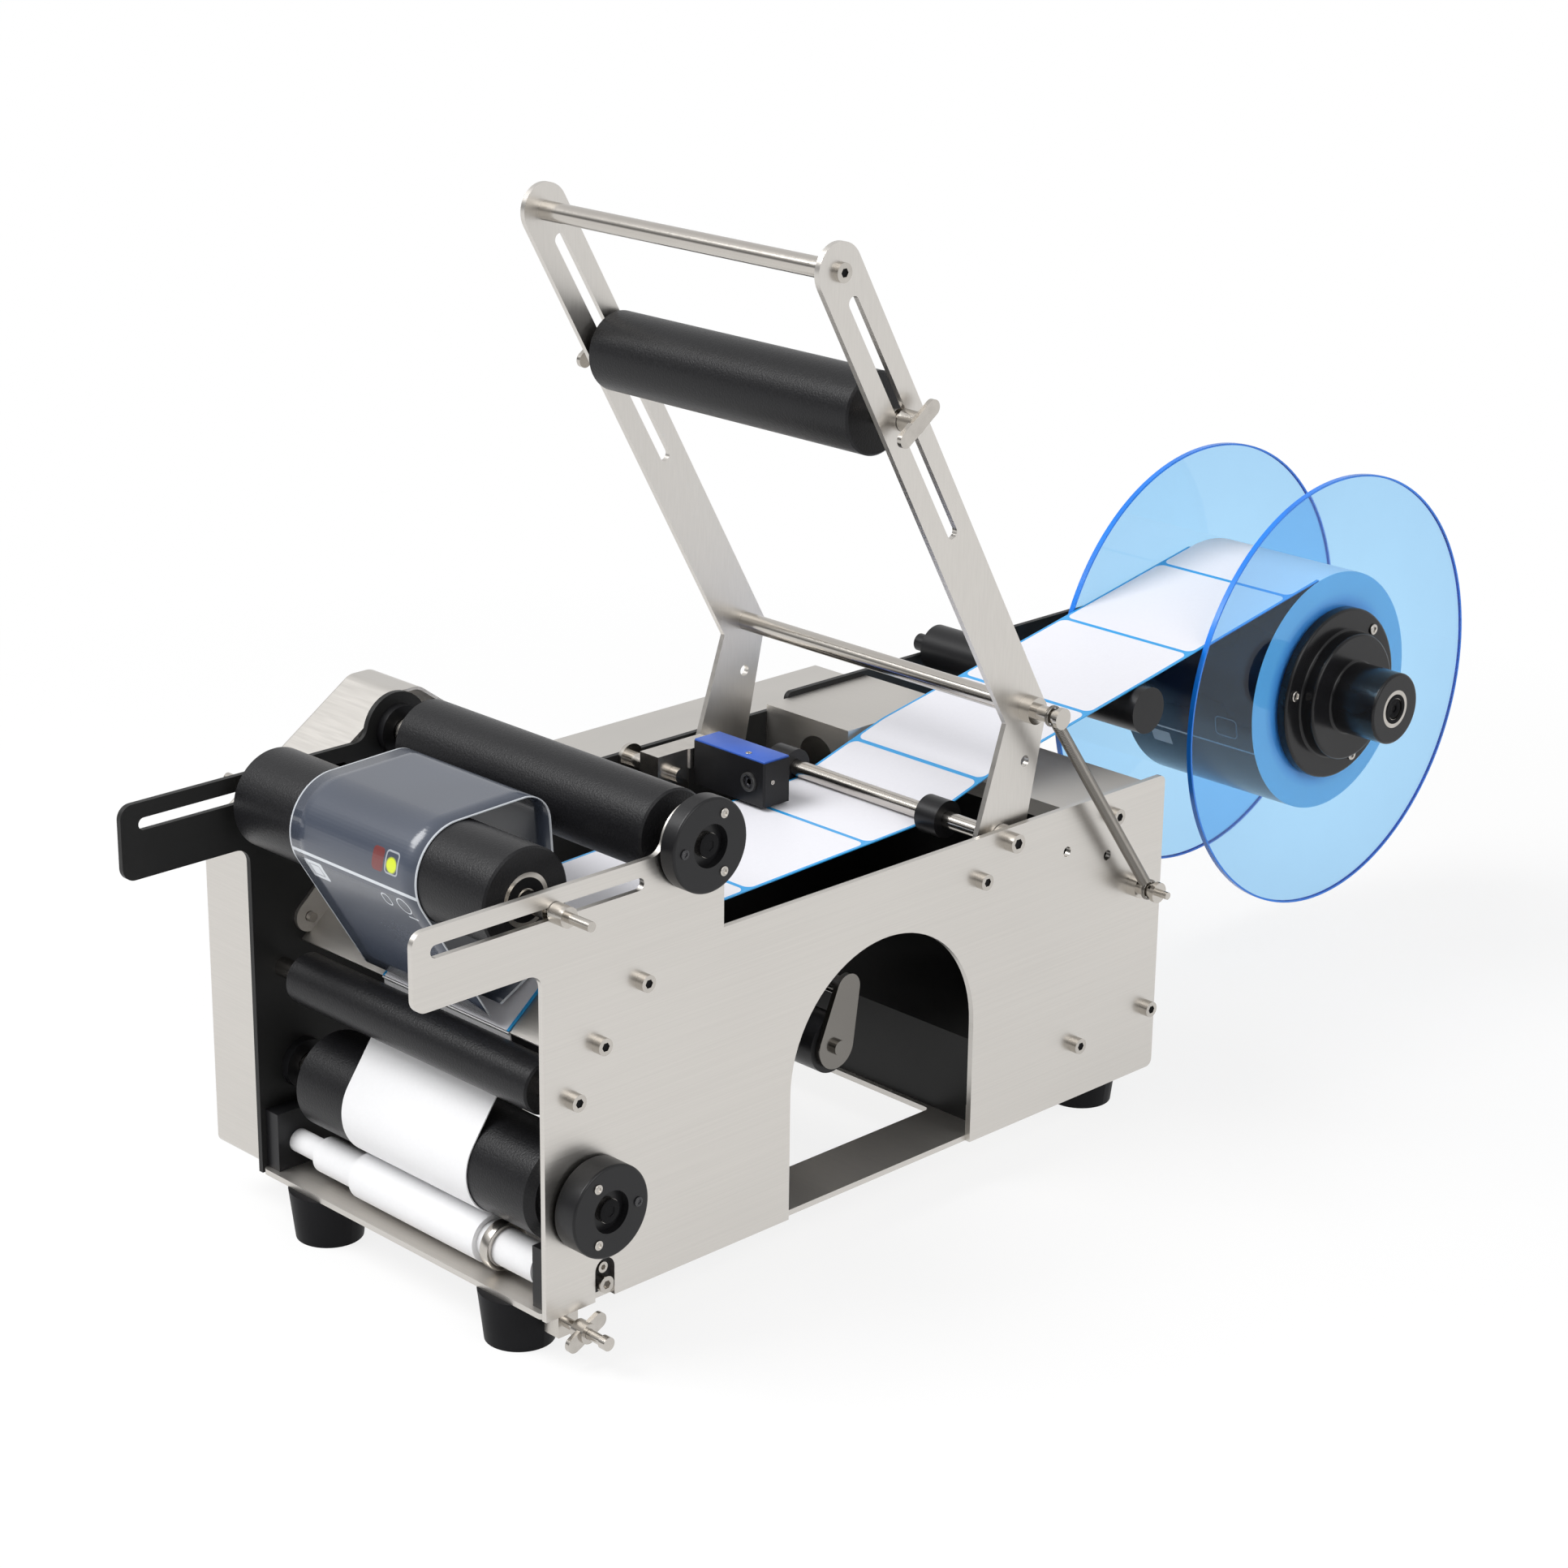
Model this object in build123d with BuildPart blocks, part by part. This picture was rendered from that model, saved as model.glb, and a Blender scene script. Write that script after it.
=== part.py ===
"""Bench-top labelling machine for round bottles.

Two side plates stand on a base tray. A bottle lies on the front and the rear roller while the
press roller, carried by a swinging arm, holds it down. The label web runs from the reel over
the idler, under the guide collars and the sensor and round the peel plate, and its backing
paper is pulled down by the drive roller and wound up below it.
"""
import os
from math import acos, atan2, cos, degrees, hypot, radians, sin, sqrt

from build123d import *

os.makedirs("parts", exist_ok=True)

# Driving dimensions in millimetres.
# X runs across the machine, and the side plate with the knobs is at +X.
# The operator stands at -Y, the reel is at +Y, and Z is up.
# The origin is on the surface that the machine stands on, midway between its four feet.
sheet = 3.0
thin_sheet = 1.5
frame_width = 220.0
plate_length = 430.0
plate_height = 166.0
foot_height = 26.0
web_width = 94.0
web_centre_x = 5.0
web_thickness = 0.6
fit = 0.1
gap = 0.3
overrun = 5.0

plate_outer_x = frame_width / 2
plate_inner_x = plate_outer_x - sheet
front_y = -plate_length / 2
rear_y = plate_length / 2
plate_bottom_z = foot_height
plate_top_z = plate_bottom_z + plate_height
tray_top_z = plate_bottom_z + sheet
web_left_x = web_centre_x - web_width / 2
web_right_x = web_centre_x + web_width / 2

# Side plate outline: the arm that reaches forward, the roller boss and the notch behind it
arm_reach = 73.0
arm_top_rise = 46.0
arm_depth = 38.0
arm_corner = 7.0
inner_corner = 8.0
plate_corner = 4.0
boss_radius = 19.0
boss_fillet = 8.0
arm_top_z = plate_top_z + arm_top_rise
arm_bottom_z = arm_top_z - arm_depth
arm_front_y = front_y - arm_reach

# Rollers and shafts, each axis written as (Y, Z)
rear_roller_radius = 21.0
rear_roller_setback = 92.0
rear_roller_rise = 48.0
rear_axis = (front_y + rear_roller_setback, plate_top_z + rear_roller_rise)
notch_y = rear_axis[0] + boss_radius

front_roller_radius = 25.0
front_roller_setback = 8.0
slot_drop = 11.0
front_axis = (front_y + front_roller_setback, arm_top_z - slot_drop)

drive_roller_radius = 25.0
drive_roller_setback = 27.0
drive_roller_rise = 53.0
drive_axis = (front_y + drive_roller_setback, plate_bottom_z + drive_roller_rise)

guide_roller_radius = 13.0
guide_setback = 17.0
guide_rise = 107.0
guide_axis = (front_y + guide_setback, plate_bottom_z + guide_rise)

paper_roll_radius = 12.0
takeup_setback = 16.0
takeup_drop = sqrt(
    (drive_roller_radius + paper_roll_radius + gap + web_thickness + gap) ** 2
    - (drive_roller_setback - takeup_setback) ** 2
)
takeup_axis = (front_y + takeup_setback, drive_axis[1] - takeup_drop)

pivot_rear_setback = 121.0
pivot_drop = 7.0
pivot_axis = (rear_y - pivot_rear_setback, plate_top_z - pivot_drop)
pivot_radius = 4.5

idler_radius = 13.0
idler_overhang = 47.0
idler_rise = 12.0
idler_axis = (rear_y + idler_overhang, plate_top_z + idler_rise)

reel_overhang = 215.0
reel_drop = 14.0
reel_axis = (rear_y + reel_overhang, plate_top_z - reel_drop)

driven_left_gap = 24.0
driven_right_gap = 11.0
driven_left_x = -plate_inner_x + driven_left_gap
driven_right_x = plate_inner_x - driven_right_gap
guide_left_gap = 19.0
guide_right_gap = 15.0
front_left_gap = 11.0
front_right_gap = 17.0
front_left_x = -plate_inner_x + front_left_gap
front_right_x = plate_inner_x - front_right_gap
shaft_radius = 6.0
bearing_radius = 11.0
bearing_flange_radius = 13.0
rubber_chamfer = 1.0

# Socket head screws
m5_head_radius = 4.25
m5_head_height = 5.0
m5_shank_radius = 2.5
m5_socket_radius = 2.3
m5_length = 8.0
m5_long_length = 14.0
m6_head_radius = 5.0
m6_head_height = 6.0
m6_shank_radius = 3.0
m6_socket_radius = 2.9
m6_length = 16.0
m3_head_radius = 2.75
m3_head_height = 3.0
m3_shank_radius = 1.5
m3_socket_radius = 1.4
socket_depth = 2.0
hole_clearance = 0.25
m5_hole_radius = m5_shank_radius + hole_clearance
m6_hole_radius = m6_shank_radius + hole_clearance
m5_head = (m5_head_radius, m5_head_height, m5_socket_radius)
m6_head = (m6_head_radius, m6_head_height, m6_socket_radius)
m3_head = (m3_head_radius, m3_head_height, m3_socket_radius)
m3_hole_radius = m3_shank_radius + hole_clearance


def rod(x_from, x_to, axis, radius, mode=Mode.ADD):
    """Add or cut a cylinder that lies along X round an axis given as (Y, Z)."""
    with BuildSketch(Plane.YZ.offset(x_from)) as section:
        with Locations(axis):
            Circle(radius)
    extrude(section.sketch, amount=x_to - x_from, mode=mode)


def tube(x_from, x_to, axis, outer, inner):
    """Add a ring or a tube that lies along X round an axis given as (Y, Z)."""
    with BuildSketch(Plane.YZ.offset(x_from)) as section:
        with Locations(axis):
            Circle(outer)
            Circle(inner, mode=Mode.SUBTRACT)
    extrude(section.sketch, amount=x_to - x_from)


def slab(x_range, y_range, z_range, mode=Mode.ADD):
    """Add or cut a block between two stations on each axis."""
    middle = ((x_range[0] + x_range[1]) / 2, (y_range[0] + y_range[1]) / 2)
    with BuildSketch(Plane.XY.offset(z_range[0])) as section:
        with Locations(middle):
            Rectangle(abs(x_range[1] - x_range[0]), abs(y_range[1] - y_range[0]))
    extrude(section.sketch, amount=z_range[1] - z_range[0], mode=mode)


def socket(x_face, side, axis, radius, depth):
    """Cut a hexagon socket into a head whose end face is at x_face."""
    with BuildSketch(Plane.YZ.offset(x_face)) as hexagon:
        with Locations(axis):
            RegularPolygon(radius, 6)
    extrude(hexagon.sketch, amount=-side * depth, mode=Mode.SUBTRACT)


def cap_screw(seat_x, side, axis, head, shank_radius, length):
    """Add a socket head screw whose head stands on seat_x and points to the given side."""
    head_radius, head_height, socket_radius = head
    top_x = seat_x + side * head_height
    rod(seat_x, top_x, axis, head_radius)
    rod(seat_x, seat_x - side * length, axis, shank_radius)
    socket(top_x, side, axis, socket_radius, socket_depth)


def round_corner(outline, corner, radius):
    """Round the corner of an outline that lies nearest to a point given as (Y, Z)."""
    fillet(outline.vertices().sort_by_distance(Vector(*corner))[0], radius)


def rim(axis, radius, angle):
    """Give the point of a circle in the YZ plane at an angle in degrees from +Y."""
    return (axis[0] + radius * cos(radians(angle)), axis[1] + radius * sin(radians(angle)))


def bearing_angle(start, end):
    """Give the direction in degrees from one (Y, Z) point to another."""
    return degrees(atan2(end[1] - start[1], end[0] - start[0]))


def distance(start, end):
    """Give the distance between two (Y, Z) points."""
    return hypot(end[0] - start[0], end[1] - start[1])


# Corner and edge of the peel plate, and the two screws that hold each of its tabs
peel_deck_drop = 20.0
peel_deck_setback = 63.0
peel_edge_reach = 34.0
peel_edge_drop = 27.5
peel_deck_z = plate_top_z - peel_deck_drop
peel_deck_front_y = front_y + peel_deck_setback
peel_edge = (peel_deck_front_y - peel_edge_reach, peel_deck_z - peel_edge_drop)
upper_screw_reach = 3.5
upper_screw_rise = 7.5
lower_screw_setback = 4.0
lower_screw_rise = 11.5
peel_screws = [
    (peel_deck_front_y - upper_screw_reach, peel_deck_z + upper_screw_rise),
    (peel_edge[0] + lower_screw_setback, peel_edge[1] + lower_screw_rise),
]

# Screws and spare holes of the right plate, as (Y, Z)
stop_screw_reach = 21.0
stop_screw_drop = 15.5
stop_screw = (pivot_axis[0] - stop_screw_reach, pivot_axis[1] - stop_screw_drop)
rear_deck_drop = 6.0
rear_deck_top_z = plate_top_z - rear_deck_drop
deck_screw_setback = 41.5
deck_screw_drop = 6.5
deck_screw = (rear_y - deck_screw_setback, rear_deck_top_z - deck_screw_drop)
rear_box_screw_setback = 8.0
rear_box_screw_rise = 33.0
front_box_screw_setback = 65.0
front_box_screw_rise = 28.5
box_screws = [
    (rear_y - rear_box_screw_setback, tray_top_z + rear_box_screw_rise),
    (rear_y - front_box_screw_setback, tray_top_z + front_box_screw_rise),
]
front_hole_setback = 76.5
front_hole_drop = 24.0
rear_hole_setback = 44.5
rear_hole_drop = 34.0
spare_holes = [
    (rear_y - front_hole_setback, plate_top_z - front_hole_drop),
    (rear_y - rear_hole_setback, plate_top_z - rear_hole_drop),
]

# Arm slots in the side plates
slot_width = 6.2
slot_front_margin = 10.0
slot_setback = 61.0
slot_rear_y = front_y + slot_setback
slot_front_y = arm_front_y + slot_front_margin

# Arch and lower slot of the right plate
arch_radius = 65.0
arch_y = 6.0
arch_rise = 66.0
arch_z = plate_bottom_z + arch_rise
lower_slot_radius = 6.0
lower_slot_setback = 36.0
lower_slot_height = 21.0
lower_slot_y = front_y + lower_slot_setback
lower_slot_top_z = plate_bottom_z + lower_slot_height
lower_slot_round_z = lower_slot_top_z - lower_slot_radius
small_screw_reach = 1.0
small_screw_drop = 4.5
large_screw_reach = 0.5
large_screw_drop = 13.0
block_screw_small = (lower_slot_y - small_screw_reach, lower_slot_top_z - small_screw_drop)
block_screw_large = (lower_slot_y - large_screw_reach, lower_slot_top_z - large_screw_drop)


def plate_outline(x_from):
    """Draw the outline that both side plates share, on the plane of their inner face."""
    boss_start_y = rear_axis[0] - sqrt(boss_radius**2 - (rear_axis[1] - arm_top_z) ** 2)
    with BuildSketch(Plane.YZ.offset(x_from)) as outline:
        with BuildLine():
            Polyline(
                (front_y, plate_bottom_z),
                (front_y, arm_bottom_z),
                (arm_front_y, arm_bottom_z),
                (arm_front_y, arm_top_z),
                (rear_axis[0], arm_top_z),
                rear_axis,
                (notch_y, rear_axis[1]),
                (notch_y, plate_top_z),
                (rear_y, plate_top_z),
                (rear_y, plate_bottom_z),
                close=True,
            )
        make_face()
        with Locations(rear_axis):
            Circle(boss_radius)
        round_corner(outline, (front_y, arm_bottom_z), inner_corner)
        round_corner(outline, (arm_front_y, arm_bottom_z), arm_corner)
        round_corner(outline, (arm_front_y, arm_top_z), arm_corner)
        round_corner(outline, (boss_start_y, arm_top_z), boss_fillet)
        round_corner(outline, (rear_y, plate_top_z), plate_corner)
        round_corner(outline, (rear_y, plate_bottom_z), plate_corner)
        with Locations(((slot_front_y + slot_rear_y) / 2, front_axis[1])):
            SlotOverall(slot_rear_y - slot_front_y, slot_width, mode=Mode.SUBTRACT)
        with Locations(rear_axis, drive_axis):
            Circle(bearing_radius + fit, mode=Mode.SUBTRACT)
        with Locations(guide_axis, *peel_screws):
            Circle(m5_hole_radius, mode=Mode.SUBTRACT)
        with Locations(pivot_axis):
            Circle(m6_hole_radius, mode=Mode.SUBTRACT)
    return outline.sketch


# Right side plate
spring_post_setback = 22.0
spring_post_drop = 56.0
spring_post_axis = (rear_y - spring_post_setback, plate_top_z - spring_post_drop)
with BuildPart() as right_plate:
    extrude(plate_outline(plate_inner_x), amount=sheet)
    with BuildSketch(Plane.YZ.offset(plate_inner_x)):
        with Locations((arch_y, arch_z)):
            Circle(arch_radius)
        with Locations((arch_y, (arch_z + plate_bottom_z - overrun) / 2)):
            Rectangle(2 * arch_radius, arch_z - plate_bottom_z + overrun)
        with Locations((lower_slot_y, lower_slot_round_z)):
            Circle(lower_slot_radius)
        with Locations((lower_slot_y, (lower_slot_round_z + plate_bottom_z - overrun) / 2)):
            Rectangle(2 * lower_slot_radius, lower_slot_round_z - plate_bottom_z + overrun)
        with Locations(stop_screw, deck_screw, *box_screws, *spare_holes, spring_post_axis):
            Circle(m5_hole_radius)
    extrude(amount=sheet, mode=Mode.SUBTRACT)
right_plate.part.label = "right_plate"
export_step(right_plate.part, "parts/right_plate.step")

# Left side plate, which runs on behind the frame to carry the idler and the reel
carrier_rise = 7.0
carrier_depth = 46.0
carrier_overlap = 65.0
carrier_overhang = 28.0
carrier_top_z = plate_top_z + carrier_rise
carrier_start_y = rear_y - carrier_overlap
carrier_end_y = reel_axis[0] + carrier_overhang
carrier_corner = 14.0
carrier_gusset = 70.0
motor_reach = 78.0
motor_rise = 50.0
motor_axis = (arch_y - motor_reach, plate_bottom_z + motor_rise)
motor_shaft_radius = 4.0
idler_stub_radius = 5.0
reel_axle_radius = 6.0
with BuildPart() as left_plate:
    extrude(plate_outline(-plate_outer_x), amount=sheet)
    with BuildSketch(Plane.YZ.offset(-plate_outer_x)) as carrier:
        with BuildLine():
            Polyline(
                (carrier_start_y, plate_top_z - carrier_depth / 2),
                (carrier_start_y, carrier_top_z),
                (carrier_end_y, carrier_top_z),
                (carrier_end_y, carrier_top_z - carrier_depth),
                (rear_y + carrier_gusset, carrier_top_z - carrier_depth),
                (rear_y - plate_corner, carrier_top_z - carrier_depth - carrier_gusset / 2),
                close=True,
            )
        make_face()
        round_corner(carrier, (carrier_end_y, carrier_top_z), carrier_corner)
        round_corner(carrier, (carrier_end_y, carrier_top_z - carrier_depth), carrier_corner)
        round_corner(carrier, (carrier_start_y, carrier_top_z), plate_corner)
    extrude(amount=sheet)
    with BuildSketch(Plane.YZ.offset(-plate_outer_x)):
        with Locations(motor_axis):
            Circle(motor_shaft_radius + gap)
        with Locations(idler_axis):
            Circle(idler_stub_radius + fit)
        with Locations(reel_axis):
            Circle(reel_axle_radius + fit)
    extrude(amount=sheet, mode=Mode.SUBTRACT)
left_plate.part.label = "left_plate"
export_step(left_plate.part, "parts/left_plate.step")

# Base tray with its large opening and the flanges that the side plates are fixed to
tray_side_margin = 35.0
tray_opening_setback = 60.0
tray_opening_front_y = front_y + tray_opening_setback
electronics_gap = 13.0
electronics_front_y = arch_y + arch_radius + electronics_gap
flange_height = 15.0
flange_setback = 58.0
flange_ends = [
    (front_y + flange_setback, arch_y - arch_radius - sheet),
    (arch_y + arch_radius + sheet, electronics_front_y),
]
foot_inset = 34.0
foot_setback = 15.0
foot_x = plate_inner_x - foot_inset
foot_y = rear_y - foot_setback
foot_bottom_radius = 17.0
foot_top_radius = 20.0
foot_bore_radius = 6.0
foot_bore_depth = 9.0
standing = (Align.CENTER, Align.CENTER, Align.MIN)
foot_places = [(x, y) for x in (-foot_x, foot_x) for y in (-foot_y, foot_y)]
tray_corner = 3.0
with BuildPart() as base_tray:
    slab((-plate_inner_x, plate_inner_x), (front_y, rear_y), (plate_bottom_z, tray_top_z))
    slab(
        (-plate_inner_x + tray_side_margin, plate_inner_x - tray_side_margin),
        (tray_opening_front_y, electronics_front_y - sheet),
        (plate_bottom_z, tray_top_z),
        mode=Mode.SUBTRACT,
    )
    fillet(base_tray.edges().filter_by(Axis.Z), tray_corner)
    for side in (-1, 1):
        for flange_start, flange_end in flange_ends:
            slab(
                (side * (plate_inner_x - sheet), side * plate_inner_x),
                (flange_start, flange_end),
                (tray_top_z, tray_top_z + flange_height),
            )
base_tray.part.label = "base_tray"
export_step(base_tray.part, "parts/base_tray.step")

# Four tapered rubber feet
with BuildPart() as rubber_feet:
    for foot_place in foot_places:
        with Locations(foot_place):
            Cone(foot_bottom_radius, foot_top_radius, foot_height, align=standing)
            Cylinder(foot_bore_radius, foot_bore_depth, align=standing, mode=Mode.SUBTRACT)
rubber_feet.part.label = "rubber_feet"
export_step(rubber_feet.part, "parts/rubber_feet.step")

# Sheet box over the rear left corner, with the large hole in its front wall
deck_box_setback = 81.0
deck_rear_gap = 3.0
deck_box_web_gap = 2.0
deck_box_rise = 4.0
deck_box_height = 46.0
deck_box_front_y = rear_y - deck_box_setback
deck_rear_y = rear_y - deck_rear_gap
deck_box_right_x = web_left_x - deck_box_web_gap
deck_box_top_z = plate_top_z + deck_box_rise
deck_hole_radius = 13.0
deck_hole_inset = 24.0
deck_hole_drop = 22.0
deck_hole = (deck_box_right_x - deck_hole_inset, deck_box_top_z - deck_hole_drop)
with BuildPart() as deck_box:
    slab(
        (-plate_inner_x, deck_box_right_x),
        (deck_box_front_y, deck_rear_y),
        (deck_box_top_z - deck_box_height, deck_box_top_z),
    )
    offset(amount=-thin_sheet, openings=deck_box.faces().sort_by(Axis.Z)[0])
    with BuildSketch(Plane.XZ.offset(-deck_box_front_y)):
        with Locations(deck_hole):
            Circle(deck_hole_radius)
    extrude(amount=-thin_sheet, mode=Mode.SUBTRACT)
deck_box.part.label = "deck_box"
export_step(deck_box.part, "parts/deck_box.step")

# Rear deck sheet beside the box, folded down along its front edge and the right plate
rear_deck_setback = 67.0
rear_deck_front_y = rear_y - rear_deck_setback
deck_flange_depth = 18.0
deck_lip_depth = 9.0
with BuildPart() as rear_deck:
    slab(
        (deck_box_right_x, plate_inner_x),
        (rear_deck_front_y, deck_rear_y),
        (rear_deck_top_z - thin_sheet, rear_deck_top_z),
    )
    slab(
        (plate_inner_x - thin_sheet, plate_inner_x),
        (rear_deck_front_y, deck_rear_y),
        (rear_deck_top_z - deck_flange_depth, rear_deck_top_z),
    )
    slab(
        (deck_box_right_x, plate_inner_x),
        (rear_deck_front_y, rear_deck_front_y + thin_sheet),
        (rear_deck_top_z - deck_lip_depth, rear_deck_top_z),
    )
    rod(plate_inner_x - thin_sheet, plate_inner_x, deck_screw, m5_hole_radius, mode=Mode.SUBTRACT)
rear_deck.part.label = "rear_deck"
export_step(rear_deck.part, "parts/rear_deck.step")

# Box for the power supply and the control board, across the rear of the tray
electronics_rear_gap = 3.0
electronics_rear_y = rear_y - electronics_rear_gap
electronics_height = 46.0
deck_box_bottom_z = deck_box_top_z - deck_box_height
with BuildPart() as electronics_box:
    slab(
        (-plate_inner_x, plate_inner_x),
        (electronics_front_y, electronics_rear_y),
        (tray_top_z, tray_top_z + electronics_height),
    )
    offset(amount=-thin_sheet, openings=electronics_box.faces().sort_by(Axis.Z)[0])
    for box_screw in box_screws:
        rod(plate_inner_x - thin_sheet, plate_inner_x, box_screw, m5_hole_radius, mode=Mode.SUBTRACT)
    # The rear panel closes the back above the box, in a full-width and a narrower sheet
    slab(
        (-plate_inner_x, plate_inner_x),
        (electronics_rear_y - thin_sheet, electronics_rear_y),
        (tray_top_z + electronics_height + gap, deck_box_bottom_z - gap),
    )
    slab(
        (deck_box_right_x + gap, plate_inner_x - thin_sheet - gap),
        (electronics_rear_y - thin_sheet, electronics_rear_y),
        (deck_box_bottom_z, rear_deck_top_z - thin_sheet - gap),
    )
electronics_box.part.label = "electronics_box"
export_step(electronics_box.part, "parts/electronics_box.step")

# Folded cover over the belt on the outside of the left plate
cover_depth = 40.0
cover_inset = 2.0
cover_front_inset = 3.0
cover_shoulder_rise = 5.0
cover_peak_rise = 18.0
cover_peak_front_setback = 95.0
cover_peak_rear_setback = 109.0
cover_step_setback = 200.0
cover_front_y = front_y + cover_front_inset
cover_rear_y = rear_y - cover_inset
cover_bottom_z = plate_bottom_z + cover_inset
cover_shoulder_z = plate_top_z + cover_shoulder_rise
cover_peak_z = rear_axis[1] + cover_peak_rise
cover_peak_front_y = front_y + cover_peak_front_setback
cover_peak_rear_y = front_y + cover_peak_rear_setback
cover_step_y = front_y + cover_step_setback
cover_bend = 10.0
cover_edge = 2.0
with BuildPart() as motor_cover:
    with BuildSketch(Plane.YZ.offset(-plate_outer_x - cover_depth)) as cover_profile:
        with BuildLine():
            Polyline(
                (cover_front_y, cover_bottom_z),
                (cover_front_y, cover_shoulder_z),
                (cover_peak_front_y, cover_peak_z),
                (cover_peak_rear_y, cover_peak_z),
                (cover_step_y, plate_top_z),
                (cover_rear_y, plate_top_z),
                (cover_rear_y, cover_bottom_z),
                close=True,
            )
        make_face()
        round_corner(cover_profile, (cover_peak_front_y, cover_peak_z), cover_bend)
        round_corner(cover_profile, (cover_peak_rear_y, cover_peak_z), cover_bend)
        round_corner(cover_profile, (cover_front_y, cover_bottom_z), plate_corner)
        round_corner(cover_profile, (cover_front_y, cover_shoulder_z), plate_corner)
    extrude(amount=cover_depth)
    fillet(motor_cover.faces().sort_by(Axis.X)[0].edges(), cover_edge)
    offset(amount=-thin_sheet, openings=motor_cover.faces().sort_by(Axis.X)[-1])
motor_cover.part.label = "motor_cover"
export_step(motor_cover.part, "parts/motor_cover.step")

# Peel plate: a flat deck, a slope down to the peeling edge and a tab at each end
peel_deck_depth = 57.0
peel_deck_rear_y = peel_deck_front_y + peel_deck_depth
peel_tab_thickness = 2.0
peel_tab_width = 16.0
with BuildPart() as peel_plate:
    with BuildSketch(Plane.YZ.offset(-plate_inner_x)):
        with BuildLine():
            Polyline((peel_deck_rear_y, peel_deck_z), (peel_deck_front_y, peel_deck_z), peel_edge)
            offset(amount=thin_sheet, side=Side.LEFT)
        make_face()
    extrude(amount=2 * plate_inner_x)
    tab_angle = bearing_angle(*peel_screws)
    tab_middle = (
        (peel_screws[0][0] + peel_screws[1][0]) / 2,
        (peel_screws[0][1] + peel_screws[1][1]) / 2,
    )
    for tab_x in (-plate_inner_x, plate_inner_x - peel_tab_thickness):
        with BuildSketch(Plane.YZ.offset(tab_x)):
            with Locations(Location(tab_middle, tab_angle)):
                SlotCenterToCenter(distance(*peel_screws), peel_tab_width)
            with Locations(*peel_screws):
                Circle(m5_hole_radius, mode=Mode.SUBTRACT)
        extrude(amount=peel_tab_thickness)
peel_plate.part.label = "peel_plate"
export_step(peel_plate.part, "parts/peel_plate.step")

# Socket head screws in the outer faces of the side plates, and the two screws of the take-up
# block that are seen through the lower slot
with BuildPart() as plate_screws:
    for side in (-1, 1):
        cap_screw(side * plate_outer_x, side, pivot_axis, m6_head, m6_shank_radius, m6_length)
        cap_screw(side * plate_outer_x, side, guide_axis, m5_head, m5_shank_radius, m5_long_length)
        for peel_screw in peel_screws:
            cap_screw(side * plate_outer_x, side, peel_screw, m5_head, m5_shank_radius, m5_length)
    for screw_axis in (stop_screw, deck_screw, *box_screws):
        cap_screw(plate_outer_x, 1, screw_axis, m5_head, m5_shank_radius, m5_length)
    cap_screw(plate_inner_x, 1, block_screw_small, m3_head, m3_shank_radius, m5_length)
    cap_screw(plate_inner_x, 1, block_screw_large, m5_head, m5_shank_radius, m5_length)
plate_screws.part.label = "plate_screws"
export_step(plate_screws.part, "parts/plate_screws.step")

# Pivot shaft of the press arm, with a shoulder at each end that spaces the arm from the plate
arm_side_gap = 3.5
arm_outer_x = plate_inner_x - arm_side_gap
arm_inner_x = arm_outer_x - sheet
pivot_shoulder_radius = 7.5
with BuildPart() as pivot_shaft:
    rod(-plate_inner_x, plate_inner_x, pivot_axis, pivot_radius)
    for side in (-1, 1):
        rod(side * (arm_outer_x + gap), side * plate_inner_x, pivot_axis, pivot_shoulder_radius)
        rod(
            side * plate_inner_x,
            side * (plate_inner_x - m6_length),
            pivot_axis,
            m6_hole_radius,
            mode=Mode.SUBTRACT,
        )
pivot_shaft.part.label = "pivot_shaft"
export_step(pivot_shaft.part, "parts/pivot_shaft.step")

# Flanged bearings of the rear and the drive roller
bearing_flange_width = 5.0
with BuildPart() as shaft_bearings:
    for side in (-1, 1):
        for bearing_axis in (rear_axis, drive_axis):
            tube(
                side * (plate_inner_x - bearing_flange_width),
                side * plate_inner_x,
                bearing_axis,
                bearing_flange_radius,
                shaft_radius + gap,
            )
            tube(
                side * plate_inner_x,
                side * plate_outer_x,
                bearing_axis,
                bearing_radius,
                shaft_radius + gap,
            )
shaft_bearings.part.label = "shaft_bearings"
export_step(shaft_bearings.part, "parts/shaft_bearings.step")

# Post on the right plate that the arm spring hooks on
post_spacer_radius = 6.0
post_spacer_length = 6.0
post_radius = 4.0
post_length = 9.0
post_cap_radius = 5.5
post_cap_length = 2.5
post_tip_radius = 2.0
post_tip_length = 6.0
spring_post_x = plate_outer_x + post_spacer_length
post_end_x = spring_post_x + post_length
with BuildPart() as spring_post:
    rod(plate_outer_x, spring_post_x, spring_post_axis, post_spacer_radius)
    rod(spring_post_x, post_end_x, spring_post_axis, post_radius)
    rod(post_end_x, post_end_x + post_cap_length, spring_post_axis, post_cap_radius)
    rod(
        post_end_x + post_cap_length,
        post_end_x + post_cap_length + post_tip_length,
        spring_post_axis,
        post_tip_radius,
    )
    rod(plate_outer_x - m5_length, plate_outer_x, spring_post_axis, m5_shank_radius)
spring_post.part.label = "spring_post"
export_step(spring_post.part, "parts/spring_post.step")

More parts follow.
